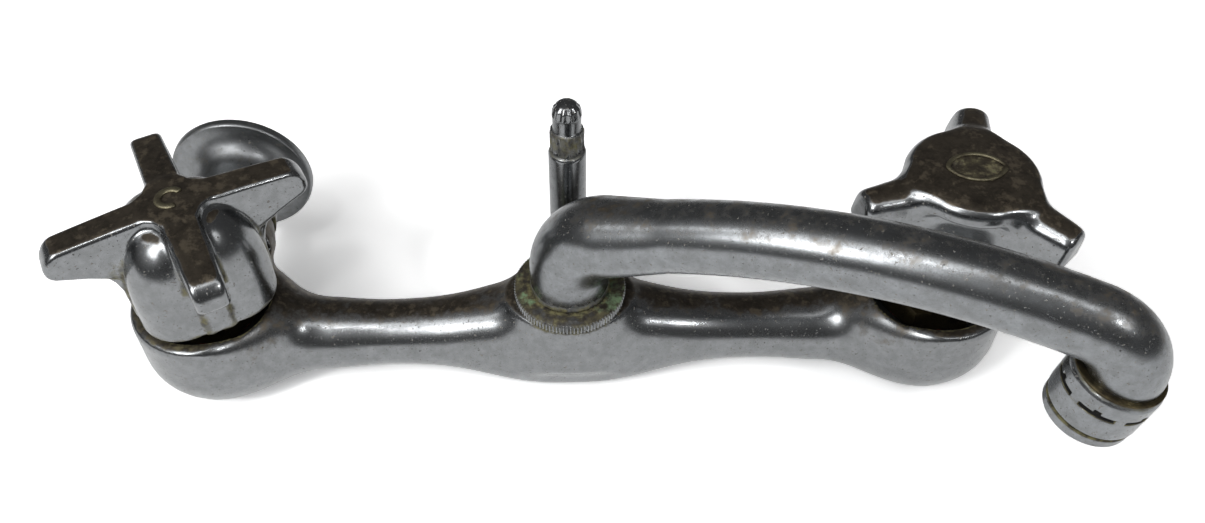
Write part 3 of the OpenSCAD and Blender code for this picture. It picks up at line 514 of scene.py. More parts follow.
class FAUCET_OT_finishes(bpy.types.Operator):
    """Makes the finishes and gives every CAD solid its own"""

    bl_idname = "faucet.finishes"
    bl_label = "Finishes"

    def execute(self, context):
        c = context.scene.faucet_colours
        finishes.update(
            # Cast brass, plated and polished: broad soft highlights under a brown film
            casting=worn_plate("worn_chrome_casting", c, c.chrome, reach=0.8, gloss=0.18, green=0.05),
            # Turned brass, plated: cleaner, but wiped duller
            coupling_chrome=worn_plate("worn_chrome_coupling", c, c.chrome, reach=0.2, gloss=0.3, green=0.05),
            # Drawn and bent brass tube, plated: the brightest plate, with film only on its ridge
            spout_chrome=worn_plate("worn_chrome_spout", c, c.chrome_blue, reach=0.42, gloss=0.18),
            # Die-cast handles, plated: a thick brown film on top, bright sides
            handle_chrome=worn_plate("worn_chrome_handle", c, c.chrome, reach=1.25, green=0.1),
            # Turned stem, plated: bright, with dirt between its ridges
            stem_chrome=worn_plate("worn_chrome_stem", c, c.chrome, reach=0.5),
            # Knurled nut, plated: mostly hidden under khaki grime and green salts
            grimy_nut=worn_plate("grimy_nut", c, c.chrome, reach=0.6, everywhere=0.1, green=0.1),
            # Raised marks, cast and tarnished: khaki with a low sheen
            button=dull_metal("tarnished_mark", c.mark, c.film, 0.4, 0.5),
            # Turned brass, oxidised: dark yellow-brown with a blurred shine
            brass=dull_metal("dull_brass", c.brass, c.film_dark, 0.35, 0.5),
            # Rolled stainless steel: grey with a cleaner shine
            steel=dull_metal("stainless_steel", c.steel, c.film, 0.3, 0.4),
            # Moulded nitrile rubber: nearly black, without shine
            rubber=matt_stuff("black_rubber", c.rubber, c.rubber_worn, 0.6, 0.4, 0.03),
            # Pressed vulcanised fibre: red-brown and quite matt
            fibre=matt_stuff("red_fibre", c.fibre, c.fibre_dark, 0.8, 0.3, 0.06),
            # Moulded acetal: off-white with a waxy sheen
            white_plastic=matt_stuff("white_acetal", c.plastic, c.plastic_aged, 0.45, 0.5, 0.02),
        )
        slot_of = {part["node"]: part["material_slot"] for part in frame["record"]["subparts"]}
        for node, solid in frame["nodes"].items():
            solid.data.materials.clear()
            solid.data.materials.append(finishes[slot_of[node]])
        return {"FINISHED"}


# ---------- casting ----------


def bowl(r, z, radius, depth, corner):
    """Distance to an upright cylinder with a bottom at -depth, whose lower edge is a quarter circle."""
    return np.hypot(np.maximum(r - radius + corner, 0), np.minimum(z + depth - corner, 0)) - corner


def casting_axes(x, y, z):
    """Distances to the axes of the nearer end valve, the spout, the centre valve, the nearer inlet arm and the port.
    x, y are counted from the spout axis."""
    side = np.abs(x) - VALVE_X
    return np.hypot(side, y), np.hypot(x, y), np.hypot(x, y - CENTRE_BACK), np.hypot(side, z), np.hypot(x, z - PORT_Z)


def casting_parts(s, x, y, z):
    """The bar, the end lobes, the collar, the boss, the port, the inlet arms and their risers, as distances. The
    bar's radius is its waist radius, plus a bell curve round the spout axis, plus an arc outside each waist. Its
    section is a circle at the waists and grows square to the spout. A lobe's rim is rounder towards the bar."""
    side = np.abs(x)
    r_end, r_mid, r_back, r_arm, r_port = casting_axes(x, y, z)
    out = np.clip(side - s.waist_x, 0, 60)
    bar_r = smooth_min(s.bar_r + s.waist_arc - np.sqrt(s.waist_arc ** 2 - out ** 2), s.flare_r, 1)
    bar_r = bar_r + s.crown_rise * np.exp(-(side / s.crown_reach) ** 2.64)
    # How far from a circle the section is, from 0 at a waist to 1 under the spout
    crown, upper = np.exp(-(side / 26) ** 2.6), z > -s.bar_drop
    square_above, square_below = 0.7, 2.4
    wide = bar_r * 2 ** (1 / (2 + square_below * crown) - 0.5)
    tall = np.where(upper, bar_r * (1 + 0.04 * crown), wide)
    power = 2 + np.where(upper, square_above, square_below) * crown
    section = (np.abs(y) / wide) ** power + (np.abs(z + s.bar_drop) / tall) ** power
    bar = smooth_max(((section + 1e-9) ** (1 / power) - 1) * wide, side - (VALVE_X - 8), 1)
    inward = fade((VALVE_X - side) / np.maximum(r_end, 1), 0, 0.8)
    lobe = smooth_max(bowl(r_end, z, s.lobe_r, s.lobe_depth, s.lobe_corner), z, 2.6 + 8 * inward)
    middle = smooth_max(r_mid - s.centre_r, band(z, -18, -2), 2)
    boss = smooth_max(r_back - s.boss_r, band(z, -s.boss_drop - 16, -s.boss_drop), 2)
    port = smooth_max(r_port - 7.5, band(y, 26, 41), 1.4)
    arm = smooth_max(r_arm - np.interp(y, [0, 21.8, s.arm_reach], [14.8, 14.8, 13.2]), band(y, 0, s.arm_reach), 1.2)
    riser = smooth_max(np.hypot(side - VALVE_X, y - 19.5) - 8.4, band(z, -31.8, -5), 4)
    return bar, lobe, middle, boss, port, arm, riser


def casting_field(s, x, y, z):
    """The parts joined smoothly, less the room over the rims, the cups, the bores and the sockets. A bore is given
    by the distance to its axis, its radius, the depth past its foot and the ease of its edge."""
    bar, lobe, middle, boss, port, arm, riser = casting_parts(s, x, y, z)
    body = bar
    for part, ease in ((lobe, 12), (middle, 9), (boss, 5), (port, 3), (arm, 2.5), (riser, 5)):
        body = smooth_min(body, part, ease)
    r_end, r_mid, r_back, r_arm, r_port = casting_axes(x, y, z)
    bores = (
        # The room over the rims and the collar, and the cups
        (r_end, s.lobe_r + 0.3, z, 0.8), (r_mid, s.lobe_r, z + 2, 0.8), (r_end, s.cup_r, z + s.cup_depth, 1.2),
        # Thread, seat and chamber of an end valve
        (r_end, 11.1, z + 15, 0.6), (r_end, 10.5, z + 19, 0.6), (r_end, 7.3, z + 24, 0.6),
        # Socket of the spout
        (r_mid, 13.5, z + 8.8, 0.8), (r_mid, 9.7, z + 17, 0.6),
        # Thread, seat and chamber of the centre valve
        (r_back, 11.2, z + s.boss_drop, 0.6), (r_back, 8.9, z + 21, 0.6), (r_back, 8.4, z + 27, 0.6),
        # Inlet arms and port
        (r_arm, ARM_THREAD_R, y - 23.2, 0.8), (r_port, PORT_THREAD_R, y - 35, 0.8), (r_port, 2.7, y - 29, 0.8))
    for r, radius, depth, ease in bores:
        body = smooth_max(body, np.minimum(radius - r, depth), ease)
    return smooth_max(body, -z - s.lobe_depth + 0.1, 1.6)


class FAUCET_OT_casting(bpy.types.Operator):
    """Builds the body casting as one field of distance"""

    bl_idname = "faucet.casting"
    bl_label = "Body casting"

    def execute(self, context):
        s = Millimetres(context.scene.faucet_casting)
        edge, arm_top, port_end = VALVE_X + s.lobe_r, 15, CENTRE_BACK + 15
        points, quads, normals = polygonise(lambda *xyz: casting_field(s, *xyz), (-edge, -s.lobe_r, -35),
                                            (edge, port_end, arm_top), s.cell)
        x, y, z = points.T
        r_end, r_mid, r_back = casting_axes(x, y, z)[:3]
        # Soot and painted shade in the cups; dirt on the left rim, round the nut, on the boss and where the parts at
        # the back meet
        in_cup = (1 - fade(r_end, s.cup_r + 0.1, s.cup_r + 0.8)) * fade(z, -24, -20)
        on_rim = 0.42 * fade(z, -1.2, -0.5) * fade(r_end, 16.8, 18) * (1 - fade(r_end, 20, 21.8)) * (x < 0)
        by_nut = 0.75 * (1 - fade(r_mid, 15, 16.5)) * fade(z, -4.5, -2.2)
        by_boss = (1 - fade(r_back, 11.5, 13.5)) * fade(z, -21, -17)
        parts = np.sort(np.stack(casting_parts(s, x, y, z)), axis=0)
        joins = (1 - fade(np.abs(parts[1]), 0.5, 3.0)) * fade(y, 8, 16)
        # Film on what faces up and back, and on what faces the spout
        inner = np.maximum(-normals[:, 0] * np.sign(x), 0) * fade(z, -20, -9)
        put_piece("worn_casting", points, quads, "casting", (0, BAR_Y, 0), "body", "body_casting",
                  film=fade(np.hypot(np.maximum(normals @ (0, 0.45, 0.89), 0), inner), 0.45, 0.9),
                  crease=np.maximum.reduce([3.0 * in_cup, on_rim, by_nut, 0.8 * by_boss, 0.55 * joins]))
        return {"FINISHED"}


def thread_cut(r, pitch, depth, first, last):
    """A helical thread inside a bore: near its radius, a triangle wave of the height less the turn's share of the
    pitch is taken off."""
    def cut(radius, height, angle):
        phase = (height / pitch - angle / (2 * np.pi)) % 1
        at_wall = (np.abs(radius - r) < 0.2) & (height > first + 0.1) & (height < last - 0.1)
        return np.where(at_wall, depth * (1 - np.abs(2 * phase - 1)), 0)
    return cut


class FAUCET_OT_coupling(bpy.types.Operator):
    """Builds the flanged inlet coupling and the threads that show at the back"""

    bl_idname = "faucet.coupling"
    bl_label = "Inlet coupling and threads"

    def execute(self, context):
        s = Millimetres(context.scene.faucet_casting)
        front = s.arm_reach + BAR_Y + 0.8
        flare = np.linspace(0, np.pi / 2, 12)[1:-1]
        outline = np.array([[7.2, front - 5], [9.5, front - 5], [9.5, front], [13.7, front], [12.6, -14],
                            [s.neck_r, -11],
                            *np.stack([s.neck_r + 7.6 * (1 - np.cos(flare)), -11 + 7.6 * np.sin(flare)], -1),
                            [s.flange_r - 1.2, -3.4], [s.flange_r - 0.5, -3.5], [s.flange_r, -2.6],
                            [s.flange_r, -0.8], [s.flange_r - 0.7, 0], [s.flange_r - 2, 0], [s.flange_r - 2.2, -1.5],
                            [14, -1.6], [13.8, 0], [10.4, 0], [9.7, -0.8], [9.7, -11], [7.2, -11.4]])
        outline = filled(rounded(outline, 0.5), 0.45)
        points, quads = turned(outline, 160, thread_cut(9.7, 1.8, 0.5, -11, -0.8))
        points, quads = points[:, [0, 2, 1]], quads[:, ::-1]
        normals = grid_normals(points, quads)
        rim = fade(np.hypot(points[:, 0], points[:, 2]), s.flange_r - 3.5, s.flange_r - 1)
        root = 1 - fade(points[:, 1] - front, 0.3, 2.2)
        put_piece("flared_coupling", points, quads, "coupling_chrome", (-VALVE_X, 0, 0), "body", "inlet_coupling",
                  film=fade(normals[:, 2], 0.1, 0.9) * (1 - 0.9 * rim), crease=0.7 * root)
        for name, r, pitch, first, last, at in (
                ("arm_thread", ARM_THREAD_R, 1.4, s.arm_reach - 4.7, s.arm_reach - 0.3, (VALVE_X, BAR_Y, 0)),
                ("port_thread", PORT_THREAD_R, 1.1, CENTRE_BACK + 9.1, CENTRE_BACK + 14.6, (0, BAR_Y, PORT_Z))):
            sleeve = np.array([[r - 0.1, first], [r + 0.4, first], [r + 0.4, last], [r - 0.1, last]])
            points, quads = turned(filled(sleeve, 0.15), 120, thread_cut(r, pitch, 0.5, first, last))
            put_piece(name, points[:, [0, 2, 1]], quads[:, ::-1], "brass", at, "body")
        return {"FINISHED"}


# ---------- handles ----------


def cross_parts(s, x, y, z):
    """The bell, the ribs, the arms and the hub of the cross handle, as distances.
    In plan the bell is four circles on the diagonals, and its size is the root of one less a power of the height.
    An arm is a bar between a foot line that rises outwards and a top line that droops and falls away at the tip. u
    runs along the nearest arm and v across it."""
    r = np.hypot(x, y)
    spin = np.arctan2(y, x) - s.cross_turn
    fold = (spin + np.pi / 4) % (np.pi / 2) - np.pi / 4
    diagonal = spin % (np.pi / 2) - np.pi / 4
    u, v = r * np.cos(fold), r * np.sin(fold)
    rise = np.clip((z - s.bell_gap) / (s.cross_top - s.bell_gap), 0, 0.97)
    grow = np.sqrt(1 - rise ** s.bell_power)
    lobes = np.hypot(r * np.cos(diagonal) - 9.2 * grow, r * np.sin(diagonal)) - (s.bell_r - 9.2) * grow
    bell = smooth_max(smooth_max(lobes, s.bell_gap - z, 1.2), z - s.cross_top + 3, 2)
    rib_r = np.interp(z, [3.5, 14, 18, 21, 24], [18.9, 19.2, 20.2, 21.8, 23.5])
    rib = smooth_max(smooth_max(np.abs(v) - 3.1, u - rib_r, 1.5), np.maximum(s.bell_gap - z, z - 30), 1.2)
    reach = u / s.cross_r
    half = 4.9 - 0.7 * np.clip(reach, 0, 1)
    top = s.cross_top - 2.2 * np.clip(reach, 0, 1.1) ** 1.3 - 3.4 * np.clip((u - s.cross_r + 5) / 5, 0, 1.2) ** 2
    foot = 22.2 + 0.42 * (u - 22.2)
    plan = smooth_max(np.abs(v) - half, u - s.cross_r, 2.4)
    arm = smooth_max(smooth_max(plan, z - top, 2), foot - z, 1.7)
    hub = smooth_max(r - 8.6, band(z, s.cross_top - 16, s.cross_top), 1.5)
    return bell, rib, arm, hub, grow, r


def cross_field(s, x, y, z):
    """The cross handle's parts joined smoothly, less the hollow under the bell."""
    bell, rib, arm, hub, grow, r = cross_parts(s, x, y, z)
    body = smooth_min(smooth_min(smooth_min(bell, rib, 2.2), arm, 2), hub, 2.5)
    body = smooth_max(body, z - s.cross_top, 1)
    return smooth_max(body, np.minimum(15.2 * grow - r, 24 - z), 0.8)


def disc_parts(s, x, y, z):
    """The disc, the neck and the arms of the right handle, as distances. The disc's top is a shallow parabola, the
    neck flares downwards, and each arm is a web whose foot line rises outwards."""
    x = x - s.disc_lean * np.clip((z - 13) / 29, 0, 1)
    r = np.hypot(x, y)
    fold = (np.arctan2(y, x) - s.tri_turn + np.pi / 3) % (2 * np.pi / 3) - np.pi / 3
    u, v = r * np.cos(fold), r * np.sin(fold)
    top = s.disc_top - 0.5 * (r / s.disc_r) ** 2
    disc = smooth_max(smooth_max(r - s.disc_r, z - top, 4.6), s.disc_top - 6 - z, 2)
    neck_r = np.interp(z, [13, 24, 29, 37, 40], [16.4, 16.6, 16.1, 12.4, 12])
    neck = smooth_max(smooth_max(r - neck_r, 13 - z, 1.4), z - s.disc_top + 2, 1)
    arm_top = np.interp(u, [14, 30], [40.9, 39.7])
    half = np.interp(u, [12, 27], [4.6, 3.2]) + 2.6 * (1 - np.exp(np.minimum(z - arm_top, 0) / 4))
    foot = np.interp(u, [12, 19, 30], [22.6, 27.2, 29.6])
    plan = smooth_max(np.abs(v) - half, u - s.tri_r, 2.8)
    arm = smooth_max(smooth_max(smooth_max(plan, z - arm_top, 3.4), foot - z, 1.8), 9 - u, 1)
    return disc, neck, arm, z - top


def disc_field(s, x, y, z):
    """The right handle's parts joined smoothly, less the hollow in the skirt."""
    disc, neck, arm, over = disc_parts(s, x, y, z)
    body = smooth_max(smooth_min(smooth_min(disc, neck, 3), arm, 4), over, 1)
    return smooth_max(body, np.minimum(12.5 - np.hypot(x, y), 24 - z), 0.8)


class FAUCET_OT_cross(bpy.types.Operator):
    """Builds the cross handle as a field of distance, and its cold mark as a bent wire"""

    bl_idname = "faucet.cross"
    bl_label = "Cross handle"

    def execute(self, context):
        s = Millimetres(context.scene.faucet_handles)
        reach = s.cross_r + 1
        points, quads, normals = polygonise(lambda *xyz: cross_field(s, *xyz), (-reach, -reach, 3),
                                            (reach, reach, s.cross_top + 1), s.cell)
        z = points[:, 2]
        bell, rib, arm, hub, grow, r = cross_parts(s, *points.T)
        # Dirt in the grooves between two parts and along the bell's lower edge; soot and painted shade in the hollow
        # under the bell
        near = np.sort(np.abs(np.stack([bell, rib, arm, hub])), axis=0)[1]
        inside = (r < 15.5 * grow + 0.3) & (z < 24.5)
        groove = (1 - fade(near, 0.2, 2.6)) * (1 - fade(z, 22, 32)) * (1 - fade(r, 20, 24))
        crease = np.maximum.reduce([0.7 * groove, 1.8 * inside, 0.6 * (1 - fade(z, 3.6, 6.5))])
        put_piece("cross_handle", points, quads, "handle_chrome", LEFT_AT, "left_turn", "left_handle",
                  film=fade(normals[:, 2], 0.8, 0.98) * fade(z, 31, 33.5), crease=crease)

        share = np.linspace(0, 1, 60)[:, None]
        along = math.radians(48) + share * math.radians(264)
        ends = np.sqrt(np.clip(1 - (2 * share - 1) ** 24, 0, 1))
        section = np.linspace(0, 2 * np.pi, 20, endpoint=False)[None, :]
        radius = s.letter_r + 0.95 * ends * np.cos(section)
        points = np.stack([radius * np.cos(along), radius * np.sin(along),
                           s.cross_top + 0.1 + 0.45 * ends * np.sin(section)], -1).reshape(-1, 3)
        put_piece("cold_letter", points, grid_quads(60, 20)[:, ::-1], "button", LEFT_AT, "left_turn",
                  "left_index_button")
        return {"FINISHED"}


class FAUCET_OT_disc(bpy.types.Operator):
    """Builds the disc handle as a field of distance, and its oval emblem as a wire"""

    bl_idname = "faucet.disc"
    bl_label = "Disc handle"

    def execute(self, context):
        s = Millimetres(context.scene.faucet_handles)
        reach = s.tri_r + 2
        points, quads, normals = polygonise(lambda *xyz: disc_field(s, *xyz), (-reach, -reach, 12.5),
                                            (reach, reach, s.disc_top + 0.5), s.cell)
        z = points[:, 2]
        r = np.hypot(points[:, 0], points[:, 1])
        in_oval = 1 - fade(np.hypot((points[:, 0] - s.disc_lean) / 7.3, points[:, 1] / 4.6), 0.8, 1.05)
        # Soot and painted shade in the hollow of the skirt; dirt along the skirt's lower edge and inside the oval on
        # top
        crease = np.maximum.reduce([1.8 * ((r < 12.9) & (z < 24.5)), 0.8 * (1 - fade(z, 13, 15)),
                                    0.42 * in_oval * (z > 40)])
        put_piece("disc_handle", points, quads, "handle_chrome", RIGHT_AT, "right_turn", "right_handle",
                  film=fade(normals[:, 2], 0.75, 0.97), crease=crease)

        along = np.linspace(0, 2 * np.pi, 144, endpoint=False)[:, None]
        section = np.linspace(0, 2 * np.pi, 16, endpoint=False)[None, :]
        wave = np.sin(along)
        out = np.concatenate([np.cos(along) / 7.3, wave / 4.8], -1)
        out /= np.linalg.norm(out, axis=-1, keepdims=True)
        path = np.concatenate([7.3 * np.cos(along), 4.8 * wave * np.abs(wave) ** 0.35], -1)
        wire = path[:, None] + out[:, None] * (0.62 * np.cos(section))[..., None]
        height = s.disc_top - 0.05 + 0.42 * np.sin(section) + 0 * along
        points = np.concatenate([wire, height[..., None]], -1).reshape(-1, 3) + (s.disc_lean, 0, 0)
        put_piece("oval_emblem", points, grid_quads(144, 16, wrap_rows=True)[:, ::-1], "button", RIGHT_AT,
                  "right_turn", "right_index_button")
        return {"FINISHED"}


class FAUCET_OT_stem(bpy.types.Operator):
    """Builds the bare centre stem with its splines and grooved tip"""

    bl_idname = "faucet.stem"
    bl_label = "Centre stem"

    def execute(self, context):
        top = foot_and_top("centre_stem")[1]
        outline = [[0, -20], [4.2, -20], [4.2, -12], [5.35, -12], [5.35, 27.6], [4.95, 28.3], [4.6, 28.4],
                   [4.6, 28.8], [4.9, 29.0], [4.9, 35.4], [4.4, 35.9], [4.0, 36.0], [4.0, top - 4.4],
                   [4.2, top - 4.2], [4.2, top - 3.4], [3.75, top - 1.8], [2.6, top - 0.6], [1.2, top - 0.1], [0, top]]
        outline = filled(rounded(outline, 0.25, closed=False), 0.4, closed=False)

        def cut(radius, height, angle):
            """Sixteen slanted ridges along the splined part, and twelve flutes round the tip's shoulder."""
            splined = (height > 28.9) & (height < 35.6) & (radius > 4.5)
            shoulder = fade(height, top - 4.4, top - 3.6) * fade(radius, 2, 4)
            ridges, flutes = 16, 12
            return (0.6 * np.abs(np.sin(ridges / 2 * angle + 0.25 * height)) * splined
                    + 0.3 * (0.5 + 0.5 * np.cos(flutes * angle)) * shoulder)

        points, quads = turned(outline, 192, cut, closed=False)
        normals = grid_normals(points, quads)
        z = points[:, 2]
        crease = 0.5 * fade(z, 27.6, 28.3) * (1 - fade(z, 35.6, 36.4))
        put_piece("splined_stem", points, quads, "stem_chrome", CENTRE_AT, "centre_turn", "centre_stem",
                  film=0.5 * fade(normals[:, 2], 0.0, 1.0), crease=crease)
        return {"FINISHED"}


# ---------- spout ----------


def outlet(s):
    """Where the spout ends, as (distance out, height)."""
    return np.array([s.reach - 0.3, OUTLET_Z])


def swung(s, out, across, height):
    """Points given by their distance out along the spout, across it and their height, turned to its place at rest."""
    c, n = np.cos(s.turn_at_rest), np.sin(s.turn_at_rest)
    return np.stack([out * c - across * n, out * n + across * c, height], -1).reshape(-1, 3)


def hung(s, points):
    """Points round the outlet's axis, with heights from the outlet, leaned back and put under the spout's end."""
    lean, c, n = s.outlet_lean, np.cos(s.turn_at_rest), np.sin(s.turn_at_rest)
    x, y, z = points.T
    along, across = x * c + y * n, y * c - x * n
    return swung(s, along * np.cos(lean) + z * np.sin(lean) + outlet(s)[0], across,
                 z * np.cos(lean) - along * np.sin(lean) + outlet(s)[1])


def spout_line(s):
    """The tube's centre line in its upright plane, as (distance out, height), its slope and the tube's radius: a
    straight foot, an elbow, a straight cone, a long arch and an elbow down to the outlet."""
    rise, drop = s.rise_slope, s.drop_slope
    foot = np.array([[0, z] for z in (-16, -16, 1.35, 1.4, 1.8, 2.3, 2.4, 4, 6, s.base_rise)], float)
    foot_r = np.array([0, 9.45, 9.45, 10.8, 11.15, 11.05, 11.0, 11.0, 11.0, 11.0])
    bend = np.linspace(np.pi / 2, rise, 25)[1:]
    elbow = np.stack([s.base_bend * (1 - np.sin(bend)), s.base_rise + s.base_bend * np.cos(bend)], -1)
    share = np.linspace(0, 1, 8)[1:, None]
    cone = elbow[-1] + share * s.cone_len * np.array([[np.cos(rise), np.sin(rise)]])
    run = s.reach - cone[-1, 0] - s.outlet_bend * (1 - np.sin(drop))
    arch_r = run / (np.sin(rise) + np.sin(drop))
    slope = np.linspace(rise, -drop, 61)[1:]
    arch = cone[-1] + arch_r * np.stack([np.sin(rise) - np.sin(slope), np.cos(slope) - np.cos(rise)], -1)
    down = np.linspace(-drop, -np.pi / 2 - s.outlet_lean, 21)[1:]
    end = arch[-1] + s.outlet_bend * np.stack([-np.sin(drop) - np.sin(down), np.cos(down) - np.cos(drop)], -1)
    tail = np.array([2.4, 2.2, 1.7, 0.4, 0.05, 0.05])
    tail_r = np.array([8.95, 9.9, 10.3, 10.3, 9.9, 0])
    kept = tail < end[-1, 1] - OUTLET_Z - 0.02
    upward = np.array([np.sin(s.outlet_lean), np.cos(s.outlet_lean)])
    tail, tail_r = outlet(s) + tail[kept, None] * upward, tail_r[kept]
    line = np.concatenate([foot, elbow, cone, arch, end, tail])
    way = np.concatenate([np.full(len(foot), np.pi / 2), bend, np.full(len(cone), rise), slope, down,
                          np.full(len(tail), down[-1])])
    radius = np.concatenate([foot_r, np.full(len(bend), s.base_tube_r),
                             s.base_tube_r + share[:, 0] * (s.arm_tube_r - s.base_tube_r),
                             np.linspace(s.arm_tube_r, s.end_tube_r, len(slope)),
                             np.full(len(down), s.end_tube_r), tail_r])
    return line, way, radius


class FAUCET_OT_spout(bpy.types.Operator):
    """Builds the swing spout as a circle carried along its centre line"""

    bl_idname = "faucet.spout"
    bl_label = "Spout"

    def execute(self, context):
        s = Millimetres(context.scene.faucet_spout)
        line, way, radius = spout_line(s)
        angle = np.linspace(0, 2 * np.pi, 96, endpoint=False)[None, :]
        out = line[:, :1] - np.sin(way)[:, None] * np.cos(angle) * radius[:, None]
        height = line[:, 1:] + np.cos(way)[:, None] * np.cos(angle) * radius[:, None]
        points = swung(s, out, radius[:, None] * np.sin(angle), height)
        quads = grid_quads(len(line), 96)[:, ::-1]
        normals = grid_normals(points, quads)
        foot = (1 - fade(points[:, 2], 2.5, 5)) * (np.hypot(points[:, 0], points[:, 1]) < 20)
        put_piece("spout", points, quads, "spout_chrome", SPOUT_AT, "spout", "spout_tube",
                  film=fade(normals[:, 2], 0.25, 0.95), crease=0.7 * foot)
        return {"FINISHED"}


class FAUCET_OT_nut(bpy.types.Operator):
    """Builds the knurled nut that holds the spout"""

    bl_idname = "faucet.nut"
    bl_label = "Spout nut"

    def execute(self, context):
        s = Millimetres(context.scene.faucet_spout)
        outline = [[9.65, -6.4], [13.3, -6.4], [13.3, -2.2], [s.nut_r - 0.4, -2.2], [s.nut_r, -1.9], [s.nut_r, 0.6],
                   [s.nut_r - 0.5, 0.95], [13.6, 1.25], [11.6, 1.15], [9.65, 1.1]]

        def cut(radius, height, angle):
            """Fine upright knurls on the widest band."""
            knurls, deep = 100, 0.5
            return deep * (0.5 - 0.5 * np.cos(knurls * angle)) * fade(radius, s.nut_r - 0.5, s.nut_r - 0.2)

        points, quads = turned(filled(rounded(outline, 0.2), 0.5), 960, cut)
        normals = grid_normals(points, quads)
        r = np.hypot(points[:, 0], points[:, 1])
        crease = np.maximum.reduce([0.85 * (1 - fade(r, 11.6, 12.6)), 0.45 * (1 - fade(points[:, 2], -2, -1.4)),
                                    0.5 * fade(normals[:, 2], 0.4, 0.9), 0.5 * fade(s.nut_r - r, 0.1, 0.3)])
        put_piece("knurled_nut", points, quads, "grimy_nut", SPOUT_AT, "body", "spout_nut",
                  film=fade(normals[:, 2], 0.2, 0.9), crease=crease)
        return {"FINISHED"}


class FAUCET_OT_aerator(bpy.types.Operator):
    """Builds the aerator's collar, its housing with air slots, and the ring under it"""

    bl_idname = "faucet.aerator"
    bl_label = "Aerator"

    def execute(self, context):
        s = Millimetres(context.scene.faucet_spout)
        r, foot, top = s.aerator_r, HOUSING_FOOT - OUTLET_Z, HOUSING_TOP - OUTLET_Z
        slot_z = foot + 7.9

        def cut(radius, height, angle):
            """Six slots, each with a short notch in the middle of its upper edge."""
            pitch = np.pi / 3
            across = radius * np.sin((angle + math.radians(36)) % pitch - pitch / 2)
            slot = (1 - fade(np.abs(height - slot_z), 0.4, 0.6)) * (1 - fade(np.abs(across), 3.9, 4.3))
            notch = (1 - fade(np.abs(height - slot_z - 0.8), 0.4, 0.7)) * (1 - fade(np.abs(across), 0.6, 0.9))
            return 1.9 * np.maximum(slot, notch) * fade(radius, r - 1.3, r - 0.9)

        housing = [[8.0, foot], [r - 0.7, foot], [r - 0.1, foot + 0.9], [r, foot + 1.2], [r, top - 1.3],
                   [r - 0.5, top - 0.3], [r - 1.0, top - 0.02], [8.0, top - 0.02]]
        points, quads = turned(filled(rounded(housing, 0.3), 0.18), 300, cut)
        depth = r - np.hypot(points[:, 0], points[:, 1])
        # Soot and painted shade inside the slots; dirt round the slots and under the housing's top edge
        crease = np.maximum.reduce([2.2 * fade(depth, 0.03, 0.2) * (np.abs(points[:, 2] - slot_z) < 2),
                                    0.5 * fade(points[:, 2], top - 1.2, top - 0.2),
                                    0.3 * (1 - fade(np.abs(points[:, 2] - slot_z), 0.5, 1.6))])
        put_piece("aerator_shell", hung(s, points), quads, "spout_chrome", SPOUT_AT, "spout", "aerator_housing",
                  film=0.3 + 0 * depth, crease=crease)

        ring_foot = RING_FOOT - OUTLET_Z
        ring = [[7.4, ring_foot], [r - 0.9, ring_foot], [r - 0.3, ring_foot + 0.7], [r - 0.25, foot - 0.5],
                [r - 0.7, foot - 0.15], [7.4, foot - 0.15]]
        points, quads = turned(filled(rounded(ring, 0.3), 0.3), 160)
        put_piece("aerator_ring", hung(s, points), quads, "spout_chrome", SPOUT_AT, "spout", "aerator_lower_ring",
                  film=0.3 + 0 * points[:, 2], crease=fade(points[:, 2], foot - 0.7, foot - 0.3))

        collar = [[7.4, top - 0.1], [r - 0.9, top - 0.1], [r - 0.35, top + 0.15], [r - 0.35, -0.15], [r - 0.9, 0],
                  [7.4, 0]]
        points, quads = turned(filled(rounded(collar, 0.15), 0.3), 160)
        put_piece("aerator_band", hung(s, points), quads, "brass", SPOUT_AT, "spout", "aerator_collar")
        return {"FINISHED"}


# ---------- stage ----------


